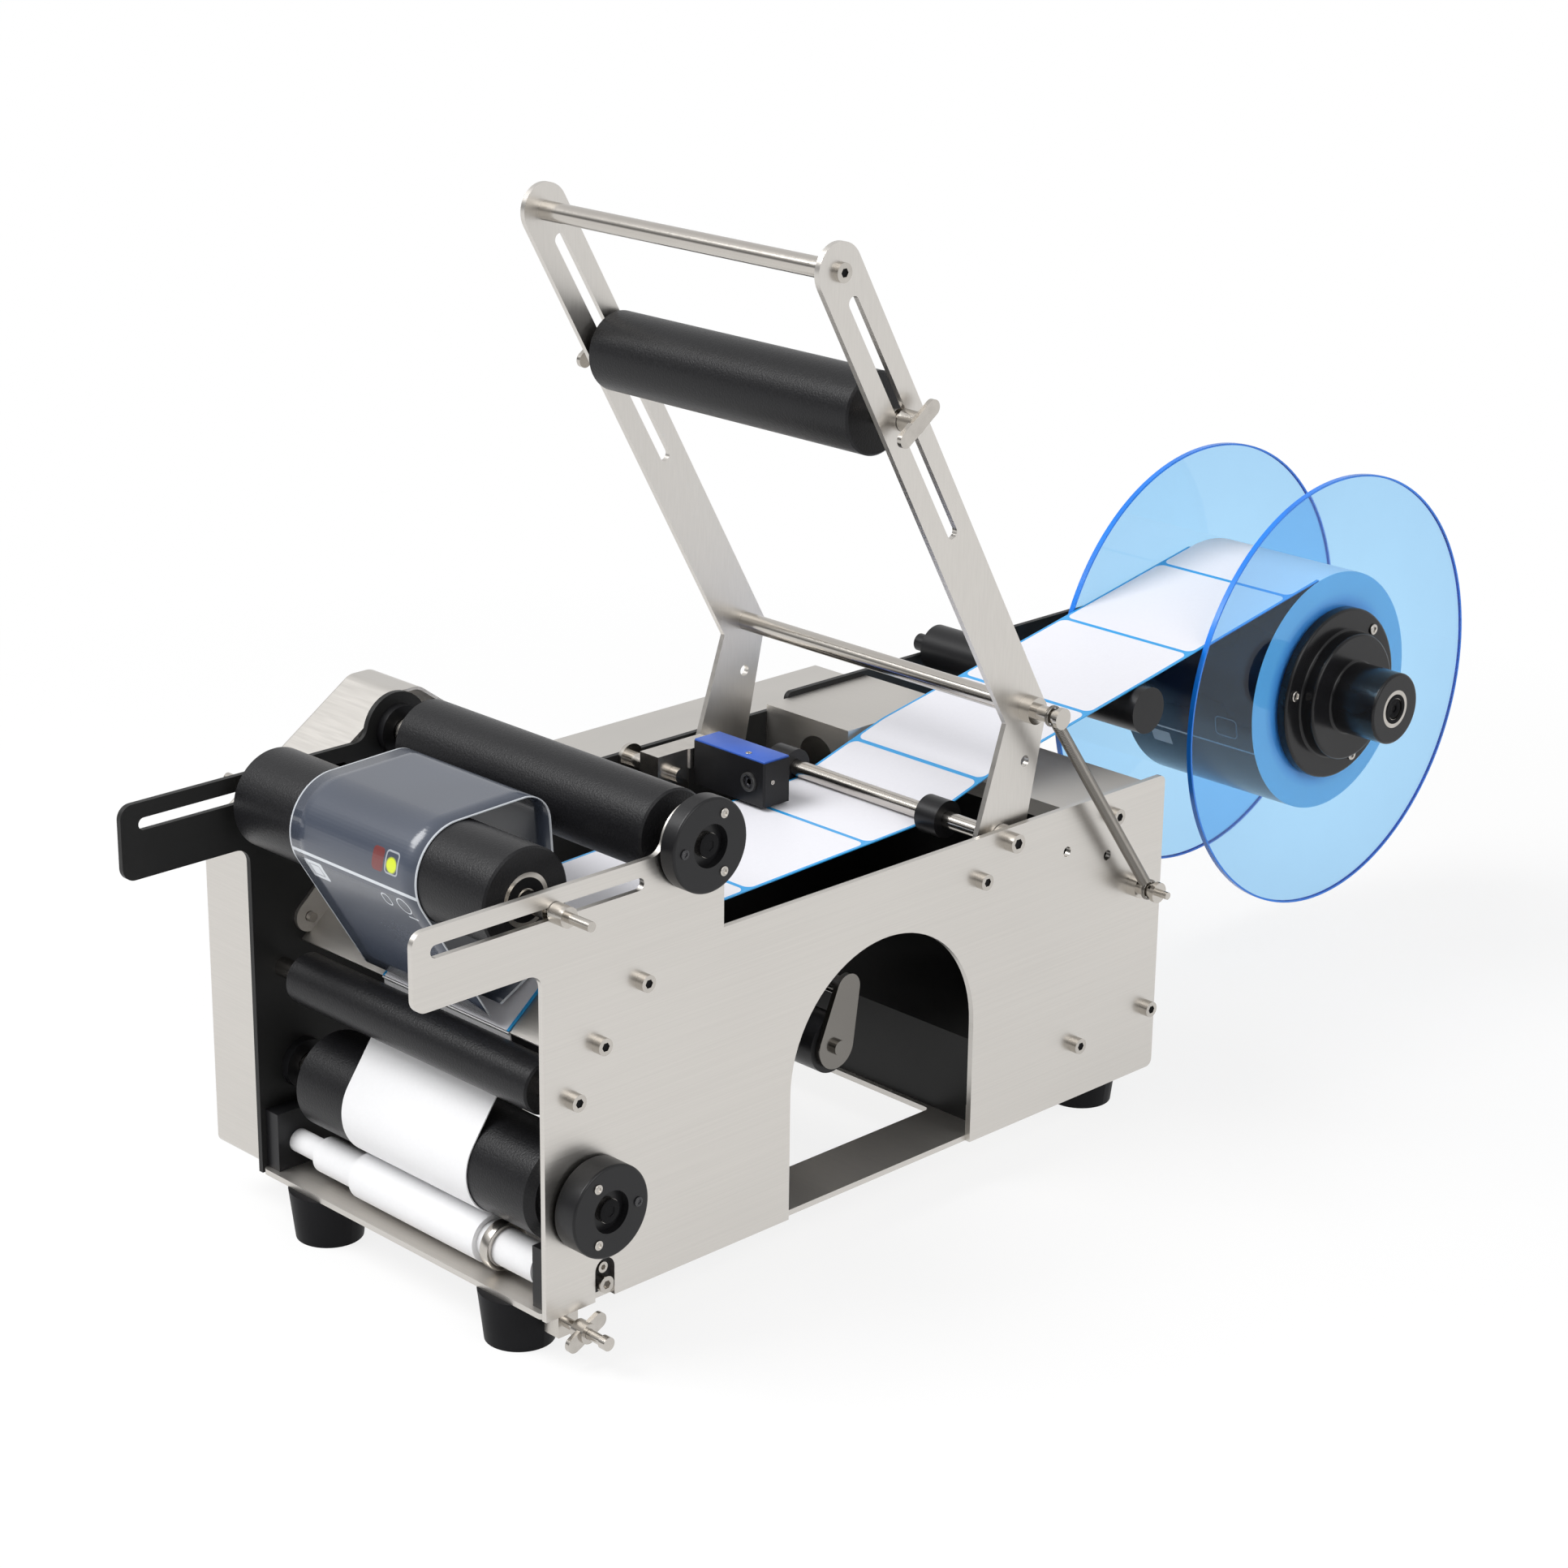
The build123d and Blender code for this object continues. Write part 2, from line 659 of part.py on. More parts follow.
# Gear motor on the inside of the left plate, and its pulley outside it
gearbox_radius = 30.0
gearbox_length = 34.0
motor_radius = 27.0
motor_length = 58.0
motor_cap_radius = 18.0
motor_cap_length = 5.0
gearbox_end_x = -plate_inner_x + gearbox_length
motor_end_x = gearbox_end_x + motor_length
pulley_width = 12.0
pulley_offset = 12.0
pulley_right_x = -plate_outer_x - pulley_offset
pulley_left_x = pulley_right_x - pulley_width
pulley_flange = 1.2
pulley_flange_width = 1.0
motor_pulley_radius = 8.0
with BuildPart() as gear_motor:
    rod(-plate_inner_x, gearbox_end_x, motor_axis, gearbox_radius)
    rod(gearbox_end_x, motor_end_x, motor_axis, motor_radius)
    rod(motor_end_x, motor_end_x + motor_cap_length, motor_axis, motor_cap_radius)
    rod(
        -plate_inner_x,
        -plate_inner_x + gearbox_length / 2,
        motor_axis,
        motor_shaft_radius + fit,
        mode=Mode.SUBTRACT,
    )
gear_motor.part.label = "gear_motor"
export_step(gear_motor.part, "parts/gear_motor.step")


def pulley(axis, radius):
    """Add a belt pulley with a thin flange on each side."""
    rod(pulley_left_x, pulley_right_x, axis, radius)
    for flange_x in (pulley_left_x - pulley_flange_width, pulley_right_x):
        rod(flange_x, flange_x + pulley_flange_width, axis, radius + pulley_flange)


with BuildPart() as motor_pulley:
    rod(pulley_left_x, -plate_inner_x + gearbox_length / 2 - gap, motor_axis, motor_shaft_radius)
    pulley(motor_axis, motor_pulley_radius)
motor_pulley.part.label = "motor_pulley"
export_step(motor_pulley.part, "parts/motor_pulley.step")

# Belt round the motor, the drive and the rear pulley
drive_pulley_radius = 12.0
rear_pulley_radius = drive_pulley_radius * rear_roller_radius / drive_roller_radius
belt_thickness = 1.0
belt_gap = gap


def belt_face(extra):
    """Draw the face inside a belt that runs round the three pulleys at a given distance."""
    with BuildSketch(Plane.YZ.offset(pulley_left_x + belt_gap)) as loop:
        with BuildLine():
            CenterArc(motor_axis, motor_pulley_radius + extra, 0, 360)
            CenterArc(drive_axis, drive_pulley_radius + extra, 0, 360)
            CenterArc(rear_axis, rear_pulley_radius + extra, 0, 360)
        make_hull()
    return loop.sketch


with BuildPart() as drive_belt:
    extrude(belt_face(belt_gap + belt_thickness), amount=pulley_width - 2 * belt_gap)
    extrude(belt_face(belt_gap), amount=pulley_width - 2 * belt_gap, mode=Mode.SUBTRACT)
drive_belt.part.label = "drive_belt"
export_step(drive_belt.part, "parts/drive_belt.step")

# Rear roller with its shaft and knob
knob_gap = 2.0
knob_radius = 23.0
upper_knob_thickness = 9.0
lower_knob_thickness = 13.0
knob_recess_radius = 10.5
knob_recess_depth = 4.5
knob_edge = 1.2
shaft_stub_depth = 1.5
shaft_hub_radius = 9.0
shaft_hub_length = 14.0
drive_chamfer = 4.0
shaft_left_x = pulley_left_x - pulley_flange_width - knob_gap
knob_inner_x = plate_outer_x + knob_gap


def soften_ends(part, size):
    """Chamfer the outer edges of both ends of a roller."""
    for end in (0, -1):
        face = part.faces().filter_by(Axis.X).sort_by(Axis.X)[end]
        chamfer(face.edges().sort_by(SortBy.RADIUS)[-1], size)


def driven_shaft(end_x, axis, pulley_radius):
    """Add a shaft with its pulley, the hub beside its roller and the socket in its end."""
    rod(shaft_left_x, end_x, axis, shaft_radius)
    rod(driven_left_x - shaft_hub_length, driven_left_x, axis, shaft_hub_radius)
    pulley(axis, pulley_radius)
    socket(end_x, 1, axis, m6_socket_radius, socket_depth)


def knob(axis, thickness):
    """Add a disc knob, recessed round the shaft end."""
    outer_x = knob_inner_x + thickness
    tube(knob_inner_x, outer_x, axis, knob_radius, shaft_radius + fit)
    rod(outer_x - knob_recess_depth, outer_x, axis, knob_recess_radius, mode=Mode.SUBTRACT)


with BuildPart() as rear_roller:
    tube(driven_left_x, driven_right_x, rear_axis, rear_roller_radius, shaft_radius + fit)
    soften_ends(rear_roller, rubber_chamfer)
rear_roller.part.label = "rear_roller"
export_step(rear_roller.part, "parts/rear_roller.step")

with BuildPart() as upper_knob:
    knob(rear_axis, upper_knob_thickness)
    fillet(upper_knob.faces().sort_by(Axis.X)[-1].edges().sort_by(SortBy.RADIUS)[-1], knob_edge)
upper_knob.part.label = "upper_knob"
export_step(upper_knob.part, "parts/upper_knob.step")

with BuildPart() as rear_shaft:
    rear_shaft_end_x = knob_inner_x + upper_knob_thickness - shaft_stub_depth
    driven_shaft(rear_shaft_end_x, rear_axis, rear_pulley_radius)
rear_shaft.part.label = "rear_shaft"
export_step(rear_shaft.part, "parts/rear_shaft.step")

# Drive roller with its shaft and knob
with BuildPart() as drive_roller:
    tube(driven_left_x, driven_right_x, drive_axis, drive_roller_radius, shaft_radius + fit)
    soften_ends(drive_roller, drive_chamfer)
drive_roller.part.label = "drive_roller"
export_step(drive_roller.part, "parts/drive_roller.step")

with BuildPart() as lower_knob:
    knob(drive_axis, lower_knob_thickness)
    fillet(lower_knob.faces().sort_by(Axis.X)[-1].edges().sort_by(SortBy.RADIUS)[-1], knob_edge)
lower_knob.part.label = "lower_knob"
export_step(lower_knob.part, "parts/lower_knob.step")

with BuildPart() as drive_shaft:
    drive_shaft_end_x = knob_inner_x + lower_knob_thickness - shaft_stub_depth
    driven_shaft(drive_shaft_end_x, drive_axis, drive_pulley_radius)
drive_shaft.part.label = "drive_shaft"
export_step(drive_shaft.part, "parts/drive_shaft.step")

# Guide roller on its fixed axle
guide_axle_radius = 5.0
with BuildPart() as guide_axle:
    rod(-plate_inner_x, plate_inner_x, guide_axis, guide_axle_radius)
    for side in (-1, 1):
        rod(
            side * plate_inner_x,
            side * (plate_inner_x - m5_long_length),
            guide_axis,
            m5_hole_radius,
            mode=Mode.SUBTRACT,
        )
guide_axle.part.label = "guide_axle"
export_step(guide_axle.part, "parts/guide_axle.step")

with BuildPart() as guide_roller:
    tube(
        -plate_inner_x + guide_left_gap,
        plate_inner_x - guide_right_gap,
        guide_axis,
        guide_roller_radius,
        guide_axle_radius + fit,
    )
    soften_ends(guide_roller, rubber_chamfer)
guide_roller.part.label = "guide_roller"
export_step(guide_roller.part, "parts/guide_roller.step")

# Front roller on a shaft whose ends are clamped in the arm slots
front_shaft_radius = 5.0
front_bearing_radius = 13.0
front_bearing_width = 8.0
front_bearing_places = (front_left_x, front_right_x - front_bearing_width)
front_bore_radius = 9.0
lock_hole_depth = 16.0
lock_collar_radius = 5.0
lock_collar_length = 9.0
lock_pin_radius = 2.5
lock_pin_length = 15.0
with BuildPart() as front_roller:
    tube(front_left_x, front_right_x, front_axis, front_roller_radius, front_bore_radius)
    for bearing_x in front_bearing_places:
        rod(
            bearing_x,
            bearing_x + front_bearing_width,
            front_axis,
            front_bearing_radius + fit,
            mode=Mode.SUBTRACT,
        )
    soften_ends(front_roller, rubber_chamfer)
front_roller.part.label = "front_roller"
export_step(front_roller.part, "parts/front_roller.step")

with BuildPart() as front_bearings:
    for bearing_x in front_bearing_places:
        tube(
            bearing_x,
            bearing_x + front_bearing_width,
            front_axis,
            front_bearing_radius,
            front_shaft_radius + fit,
        )
front_bearings.part.label = "front_bearings"
export_step(front_bearings.part, "parts/front_bearings.step")

with BuildPart() as front_shaft:
    rod(-plate_inner_x + gap, plate_inner_x - gap, front_axis, front_shaft_radius)
    for side in (-1, 1):
        rod(
            side * plate_inner_x,
            side * (plate_inner_x - lock_hole_depth),
            front_axis,
            m5_hole_radius,
            mode=Mode.SUBTRACT,
        )
front_shaft.part.label = "front_shaft"
export_step(front_shaft.part, "parts/front_shaft.step")

with BuildPart() as front_lock_screws:
    for side in (-1, 1):
        lock_seat_x = side * (plate_outer_x + gap)
        lock_collar_x = lock_seat_x + side * lock_collar_length
        rod(side * (plate_inner_x - lock_hole_depth + gap), lock_seat_x, front_axis, m5_shank_radius)
        rod(lock_seat_x, lock_collar_x, front_axis, lock_collar_radius)
        rod(lock_collar_x, lock_collar_x + side * lock_pin_length, front_axis, lock_pin_radius)
front_lock_screws.part.label = "front_lock_screws"
export_step(front_lock_screws.part, "parts/front_lock_screws.step")

# Take-up tube with its paper roll, and the black blocks that carry it
takeup_tube_radius = 9.3
takeup_stub_radius = 6.0
takeup_block_width = 10.0
takeup_block_gap = 3.0
takeup_block_length = 44.0
takeup_block_height = 31.0
takeup_block_front_y = front_y + takeup_block_gap
takeup_block_rear_y = takeup_block_front_y + takeup_block_length
takeup_block_top_z = tray_top_z + takeup_block_height
takeup_left_gap = 23.0
takeup_right_gap = 6.0
with BuildPart() as takeup_blocks:
    for side in (-1, 1):
        slab(
            (side * (plate_inner_x - takeup_block_width), side * plate_inner_x),
            (takeup_block_front_y, takeup_block_rear_y),
            (tray_top_z, takeup_block_top_z),
        )
        rod(
            side * (plate_inner_x - takeup_block_width),
            side * plate_inner_x,
            takeup_axis,
            takeup_stub_radius + gap,
            mode=Mode.SUBTRACT,
        )
    block_screws = ((block_screw_small, m3_hole_radius), (block_screw_large, m5_hole_radius))
    for block_screw, hole_radius in block_screws:
        rod(plate_inner_x - m5_length, plate_inner_x, block_screw, hole_radius, mode=Mode.SUBTRACT)
takeup_blocks.part.label = "takeup_blocks"
export_step(takeup_blocks.part, "parts/takeup_blocks.step")

with BuildPart() as takeup_tube:
    rod(
        -plate_inner_x + takeup_block_width + takeup_left_gap,
        plate_inner_x - takeup_block_width - takeup_right_gap,
        takeup_axis,
        takeup_tube_radius,
    )
    rod(-plate_inner_x + gap, plate_inner_x - gap, takeup_axis, takeup_stub_radius)
takeup_tube.part.label = "takeup_tube"
export_step(takeup_tube.part, "parts/takeup_tube.step")

with BuildPart() as paper_roll:
    tube(web_left_x, web_right_x, takeup_axis, paper_roll_radius, takeup_tube_radius + fit)
paper_roll.part.label = "paper_roll"
export_step(paper_roll.part, "parts/paper_roll.step")

# Clamp stud under the front right corner of the tray, and its wing nut
stud_setback = 18.0
stud_drop = 8.5
stud_axis = (front_y + stud_setback, plate_bottom_z - stud_drop)
stud_radius = 2.5
stud_lug_width = 10.0
stud_lug_inset = 2.5
stud_lug_right_x = plate_inner_x - stud_lug_inset
stud_lug_left_x = stud_lug_right_x - stud_lug_width
stud_lug_half = 6.0
stud_reach = 19.0
stud_end_x = plate_outer_x + stud_reach
stud_tip_radius = 3.4
stud_tip_length = 4.0
with BuildPart() as clamp_stud:
    slab(
        (stud_lug_left_x, stud_lug_right_x),
        (stud_axis[0] - stud_lug_half, stud_axis[0] + stud_lug_half),
        (stud_axis[1] - stud_lug_half, plate_bottom_z),
    )
    rod(stud_lug_right_x, stud_end_x, stud_axis, stud_radius)
    rod(stud_end_x, stud_end_x + stud_tip_length, stud_axis, stud_tip_radius)
clamp_stud.part.label = "clamp_stud"
export_step(clamp_stud.part, "parts/clamp_stud.step")

wing_hub_radius = 5.0
wing_nut_width = 8.0
wing_span = 25.0
wing_height = 8.0
wing_thickness = 2.5
wing_tilt = 25.0
wing_nut_gap = 1.5
wing_nut_x = plate_outer_x + wing_nut_gap


def wings(x_from, axis, span, tilt):
    """Add the pair of wings of a wing nut or a wing bolt."""
    with BuildSketch(Plane.YZ.offset(x_from)) as outline:
        with Locations(Location(axis, tilt)):
            SlotOverall(span, wing_height)
    extrude(outline.sketch, amount=wing_thickness)


with BuildPart() as wing_nut:
    rod(wing_nut_x, wing_nut_x + wing_nut_width, stud_axis, wing_hub_radius)
    wings(wing_nut_x + wing_nut_width / 2, stud_axis, wing_span, wing_tilt)
    rod(wing_nut_x, wing_nut_x + wing_nut_width, stud_axis, stud_radius + fit, mode=Mode.SUBTRACT)
wing_nut.part.label = "wing_nut"
export_step(wing_nut.part, "parts/wing_nut.step")

# Dancer roller that hangs on a lever behind the arch
dancer_pivot_setback = 10.0
dancer_pivot_rise = 90.0
dancer_reach = 8.0
dancer_drop = 29.0
dancer_pivot = (arch_y + dancer_pivot_setback, plate_bottom_z + dancer_pivot_rise)
dancer_axis = (dancer_pivot[0] - dancer_reach, dancer_pivot[1] - dancer_drop)
dancer_radius = 15.0
dancer_axle_radius = 4.0
dancer_end_gap = 35.0
dancer_right_x = plate_inner_x - dancer_end_gap
dancer_left_x = -dancer_right_x
dancer_plate = 3.0
dancer_pivot_radius = 5.0
dancer_lever_top_radius = 8.0
dancer_lever_bottom_radius = 12.0
dancer_dome = 3.0
with BuildPart() as dancer_lever:
    for lever_x in (dancer_left_x - dancer_plate, dancer_right_x):
        with BuildSketch(Plane.YZ.offset(lever_x)):
            with BuildLine():
                CenterArc(dancer_pivot, dancer_lever_top_radius, 0, 360)
                CenterArc(dancer_axis, dancer_lever_bottom_radius, 0, 360)
            make_hull()
        extrude(amount=dancer_plate)
    rod(-plate_inner_x, dancer_right_x, dancer_pivot, dancer_pivot_radius)
    rod(dancer_left_x, dancer_right_x + dancer_plate + dancer_dome, dancer_axis, dancer_axle_radius)
dancer_lever.part.label = "dancer_lever"
export_step(dancer_lever.part, "parts/dancer_lever.step")

with BuildPart() as dancer_roller:
    tube(dancer_left_x + gap, dancer_right_x - gap, dancer_axis, dancer_radius, dancer_axle_radius + fit)
dancer_roller.part.label = "dancer_roller"
export_step(dancer_roller.part, "parts/dancer_roller.step")

# Press arm: two cranked plates, the handle rod and the middle rod between them
bend_front_setback = 1.5
bend_front_rise = 60.0
bend_rear_setback = 32.0
bend_rear_rise = 62.7
press_arm_reach = 121.5
press_arm_rise = 303.5
mid_rod_setback = 17.0
mid_rod_rise = 65.0
arm_hole_setback = 16.5
arm_hole_rise = 37.0
arm_bend_front = (pivot_axis[0] + bend_front_setback, pivot_axis[1] + bend_front_rise)
arm_bend_rear = (pivot_axis[0] + bend_rear_setback, pivot_axis[1] + bend_rear_rise)
arm_top = (pivot_axis[0] - press_arm_reach, pivot_axis[1] + press_arm_rise)
arm_width = 28.0
arm_foot_radius = 18.0
mid_rod_axis = (pivot_axis[0] + mid_rod_setback, pivot_axis[1] + mid_rod_rise)
arm_hole = (pivot_axis[0] + arm_hole_setback, pivot_axis[1] + arm_hole_rise)
arm_hole_radius = 3.0
arm_angle = bearing_angle(mid_rod_axis, arm_top)
handle_radius = 5.0
press_distance = 87.5
press_slot_width = 6.6
press_slot_up = 69.5
press_slot_down = 70.5
press_axis = rim(arm_top, press_distance, arm_angle - 180)
arm_slot_middle = rim(press_axis, (press_slot_up - press_slot_down) / 2, arm_angle)
button_radius = 4.75
button_height = 2.7
button_head = (button_radius, button_height, m5_socket_radius)
arm_foot_rear = rim(pivot_axis, arm_foot_radius, -10)
arm_foot_front = rim(pivot_axis, arm_foot_radius, 167)


def arm_plate(x_from, mid_hole_radius):
    """Add one cranked side plate of the press arm."""
    with BuildSketch(Plane.YZ.offset(x_from)) as outline:
        with BuildLine():
            Polyline(
                rim(arm_top, arm_width / 2, arm_angle + 90),
                rim(arm_top, arm_width / 2, arm_angle - 90),
                arm_bend_rear,
                arm_foot_rear,
                arm_foot_front,
                arm_bend_front,
                close=True,
            )
        make_face()
        with Locations(arm_top):
            Circle(arm_width / 2)
        with Locations(pivot_axis):
            Circle(arm_foot_radius)
            Circle(pivot_radius + fit, mode=Mode.SUBTRACT)
        with Locations(Location(arm_slot_middle, arm_angle)):
            SlotCenterToCenter(press_slot_up + press_slot_down, press_slot_width, mode=Mode.SUBTRACT)
        with Locations(arm_top):
            Circle(m5_hole_radius, mode=Mode.SUBTRACT)
        with Locations(arm_hole):
            Circle(arm_hole_radius, mode=Mode.SUBTRACT)
        with Locations(mid_rod_axis):
            Circle(mid_hole_radius, mode=Mode.SUBTRACT)
    extrude(outline.sketch, amount=sheet)


with BuildPart() as arm_left:
    arm_plate(-arm_outer_x, m5_hole_radius)
arm_left.part.label = "arm_left"
export_step(arm_left.part, "parts/arm_left.step")

with BuildPart() as arm_right:
    arm_plate(arm_inner_x, post_radius + fit)
arm_right.part.label = "arm_right"
export_step(arm_right.part, "parts/arm_right.step")

with BuildPart() as handle_rod:
    rod(-arm_inner_x, arm_inner_x, arm_top, handle_radius)
    for side in (-1, 1):
        rod(
            side * arm_inner_x,
            side * (arm_inner_x - m5_length),
            arm_top,
            m5_hole_radius,
            mode=Mode.SUBTRACT,
        )
handle_rod.part.label = "handle_rod"
export_step(handle_rod.part, "parts/handle_rod.step")

# The middle rod runs on outside the right arm as the upper post of the spring
upper_collar_radius = 7.0
upper_collar_length = 7.0
upper_collar_x = arm_outer_x + upper_collar_length
with BuildPart() as mid_rod:
    rod(-arm_inner_x, arm_inner_x, mid_rod_axis, handle_radius)
    rod(arm_inner_x, post_end_x, mid_rod_axis, post_radius)
    rod(arm_outer_x, upper_collar_x, mid_rod_axis, upper_collar_radius)
    rod(post_end_x, post_end_x + post_cap_length, mid_rod_axis, post_cap_radius)
    rod(-arm_inner_x, -arm_inner_x + m5_length, mid_rod_axis, m5_hole_radius, mode=Mode.SUBTRACT)
mid_rod.part.label = "mid_rod"
export_step(mid_rod.part, "parts/mid_rod.step")

with BuildPart() as arm_screws:
    cap_screw(arm_outer_x, 1, arm_top, button_head, m5_shank_radius, m5_length)
    cap_screw(-arm_outer_x, -1, arm_top, button_head, m5_shank_radius, m5_length)
    cap_screw(-arm_outer_x, -1, mid_rod_axis, button_head, m5_shank_radius, m5_length)
arm_screws.part.label = "arm_screws"
export_step(arm_screws.part, "parts/arm_screws.step")

# Spring between the two posts, drawn as its closed outer shape, with an eye at each end
spring_radius = 3.2
eye_thickness = 2.4
eye_wall = 2.2
spring_x = spring_post_x + post_length / 2
eye_inner = post_radius + gap
eye_outer = eye_inner + eye_wall
spring_direction = (spring_post_axis[0] - mid_rod_axis[0], spring_post_axis[1] - mid_rod_axis[1])
spring_length = distance(mid_rod_axis, spring_post_axis) - 2 * eye_outer
spring_start = rim(mid_rod_axis, eye_outer - gap, bearing_angle(mid_rod_axis, spring_post_axis))
with BuildPart() as arm_spring:
    for eye_axis in (mid_rod_axis, spring_post_axis):
        tube(spring_x - eye_thickness / 2, spring_x + eye_thickness / 2, eye_axis, eye_outer, eye_inner)
    with BuildSketch(Plane(origin=(spring_x, *spring_start), z_dir=(0, *spring_direction))):
        Circle(spring_radius)
    extrude(amount=spring_length + 2 * gap)
arm_spring.part.label = "arm_spring"
export_step(arm_spring.part, "parts/arm_spring.step")

# Press roller on its shaft, clamped in the arm slots by two wing bolts
press_roller_radius = 20.5
press_left_gap = 3.5
press_right_gap = 14.5
press_shaft_radius = 5.0
press_hole_depth = 14.0
press_left_x = -arm_inner_x + press_left_gap
press_right_x = arm_inner_x - press_right_gap
with BuildPart() as press_roller:
    tube(press_left_x, press_right_x, press_axis, press_roller_radius, press_shaft_radius + fit)
    soften_ends(press_roller, rubber_chamfer)
press_roller.part.label = "press_roller"
export_step(press_roller.part, "parts/press_roller.step")

with BuildPart() as press_shaft:
    rod(-arm_inner_x + gap, arm_inner_x - gap, press_axis, press_shaft_radius)
    for side in (-1, 1):
        rod(
            side * arm_inner_x,
            side * (arm_inner_x - press_hole_depth),
            press_axis,
            m6_hole_radius,
            mode=Mode.SUBTRACT,
        )
press_shaft.part.label = "press_shaft"
export_step(press_shaft.part, "parts/press_shaft.step")

bolt_hub_length = 9.0
bolt_hub_radius = 5.5
bolt_wing_span = 30.0
bolt_wing_tilt = 35.0


def wing_bolt(side):
    """Add a wing bolt whose hub stands on the outer face of an arm plate."""
    seat_x = side * (arm_outer_x + gap)
    hub_end_x = seat_x + side * bolt_hub_length
    rod(side * (arm_inner_x - press_hole_depth + gap), seat_x, press_axis, m6_shank_radius)
    rod(seat_x, hub_end_x, press_axis, bolt_hub_radius)
    wings(hub_end_x - wing_thickness / 2, press_axis, bolt_wing_span, bolt_wing_tilt)


with BuildPart() as wing_bolt_right:
    wing_bolt(1)
wing_bolt_right.part.label = "wing_bolt_right"
export_step(wing_bolt_right.part, "parts/wing_bolt_right.step")

with BuildPart() as wing_bolt_left:
    wing_bolt(-1)
wing_bolt_left.part.label = "wing_bolt_left"
export_step(wing_bolt_left.part, "parts/wing_bolt_left.step")

# Guide collars that keep the web in line, on the pivot shaft
collar_width = 14.0
collar_radius = 10.0
collar_side_gap = 1.0
with BuildPart() as collar_left:
    tube(
        web_left_x - collar_side_gap - collar_width,
        web_left_x - collar_side_gap,
        pivot_axis,
        collar_radius,
        pivot_radius + fit,
    )
collar_left.part.label = "collar_left"
export_step(collar_left.part, "parts/collar_left.step")

with BuildPart() as collar_right:
    tube(
        web_right_x + collar_side_gap,
        web_right_x + collar_side_gap + collar_width,
        pivot_axis,
        collar_radius,
        pivot_radius + fit,
    )
collar_right.part.label = "collar_right"
export_step(collar_right.part, "parts/collar_right.step")

# Label sensor over the web, clamped on a short bar from the left plate
sensor_bar_reach = 62.0
sensor_bar_rise = 4.0
sensor_bar_axis = (pivot_axis[0] - sensor_bar_reach, pivot_axis[1] + sensor_bar_rise)
sensor_bar_radius = 4.0
sensor_bar_flange_radius = 8.0
sensor_bar_flange = 2.5
clamp_inset = 21.0
clamp_width = 14.0
clamp_half = 11.0
clamp_left_x = -plate_inner_x + clamp_inset
clamp_right_x = clamp_left_x + clamp_width
sensor_bar_overhang = 6.0
sensor_bar_end_x = clamp_right_x + sensor_bar_overhang
clamp_step = 1.0
sensor_left_x = clamp_right_x + clamp_step
sensor_length = 54.0
sensor_depth = 19.0
sensor_height = 24.0
sensor_setback = 2.0
sensor_front_y = sensor_bar_axis[0] + clamp_half + sensor_setback
sensor_drop = 8.5
sensor_bottom_z = sensor_bar_axis[1] - sensor_drop
with BuildPart() as sensor_bar:
    rod(-plate_inner_x, sensor_bar_end_x, sensor_bar_axis, sensor_bar_radius)
    rod(-plate_inner_x, -plate_inner_x + sensor_bar_flange, sensor_bar_axis, sensor_bar_flange_radius)
sensor_bar.part.label = "sensor_bar"
export_step(sensor_bar.part, "parts/sensor_bar.step")

with BuildPart() as sensor_clamp:
    slab(
        (clamp_left_x, clamp_right_x),
        (sensor_bar_axis[0] - clamp_half, sensor_bar_axis[0] + clamp_half),
        (sensor_bar_axis[1] - clamp_half, sensor_bar_axis[1] + clamp_half),
    )
    rod(clamp_left_x, clamp_right_x, sensor_bar_axis, sensor_bar_radius + fit, mode=Mode.SUBTRACT)
    slab(
        (clamp_left_x, sensor_left_x),
        (sensor_bar_axis[0] + clamp_half, sensor_front_y + sensor_depth),
        (sensor_bar_axis[1], sensor_bar_axis[1] + clamp_half),
    )
sensor_clamp.part.label = "sensor_clamp"
export_step(sensor_clamp.part, "parts/sensor_clamp.step")

with BuildPart() as label_sensor:
    slab(
        (sensor_left_x, sensor_left_x + sensor_length),
        (sensor_front_y, sensor_front_y + sensor_depth),
        (sensor_bottom_z, sensor_bottom_z + sensor_height),
    )
    chamfer(label_sensor.edges().filter_by(Axis.Z), rubber_chamfer)
label_sensor.part.label = "label_sensor"
export_step(label_sensor.part, "parts/label_sensor.step")

# Idler roller behind the frame
idler_overlap = 6.0
idler_end_gap = 7.0
idler_right_x = web_right_x + idler_overlap
idler_left_x = -plate_inner_x + idler_end_gap
with BuildPart() as idler_roller:
    rod(idler_left_x, idler_right_x, idler_axis, idler_radius)
    rod(-plate_outer_x - sheet, idler_left_x, idler_axis, idler_stub_radius)
idler_roller.part.label = "idler_roller"
export_step(idler_roller.part, "parts/idler_roller.step")

# Reel: fixed axle, hub on two bearings, two discs and the label roll
disc_radius = 126.5
disc_thickness = 3.0
disc_side_gap = 0.5
chuck_radius = 37.0
hub_flange_radius = 50.0
hub_flange_thickness = 6.0
hub_tier_thickness = 9.0
hub_tube_radius = 20.8
hub_tube_length = 30.0
hub_bearing_radius = 11.0
hub_bearing_width = 7.0
hub_bore_radius = 8.0
roll_radius = 70.0
roll_core_radius = chuck_radius + gap
disc_inner_left_x = web_left_x - disc_side_gap - disc_thickness
disc_outer_left_x = web_right_x + disc_side_gap
hub_left_x = disc_inner_left_x - hub_flange_thickness
hub_flange_x = disc_outer_left_x + disc_thickness
hub_tier_x = hub_flange_x + hub_flange_thickness
hub_tube_x = hub_tier_x + hub_tier_thickness
hub_end_x = hub_tube_x + hub_tube_length
axle_nut_radius = 10.0
axle_nut_width = 6.0
axle_spacer_radius = 10.0
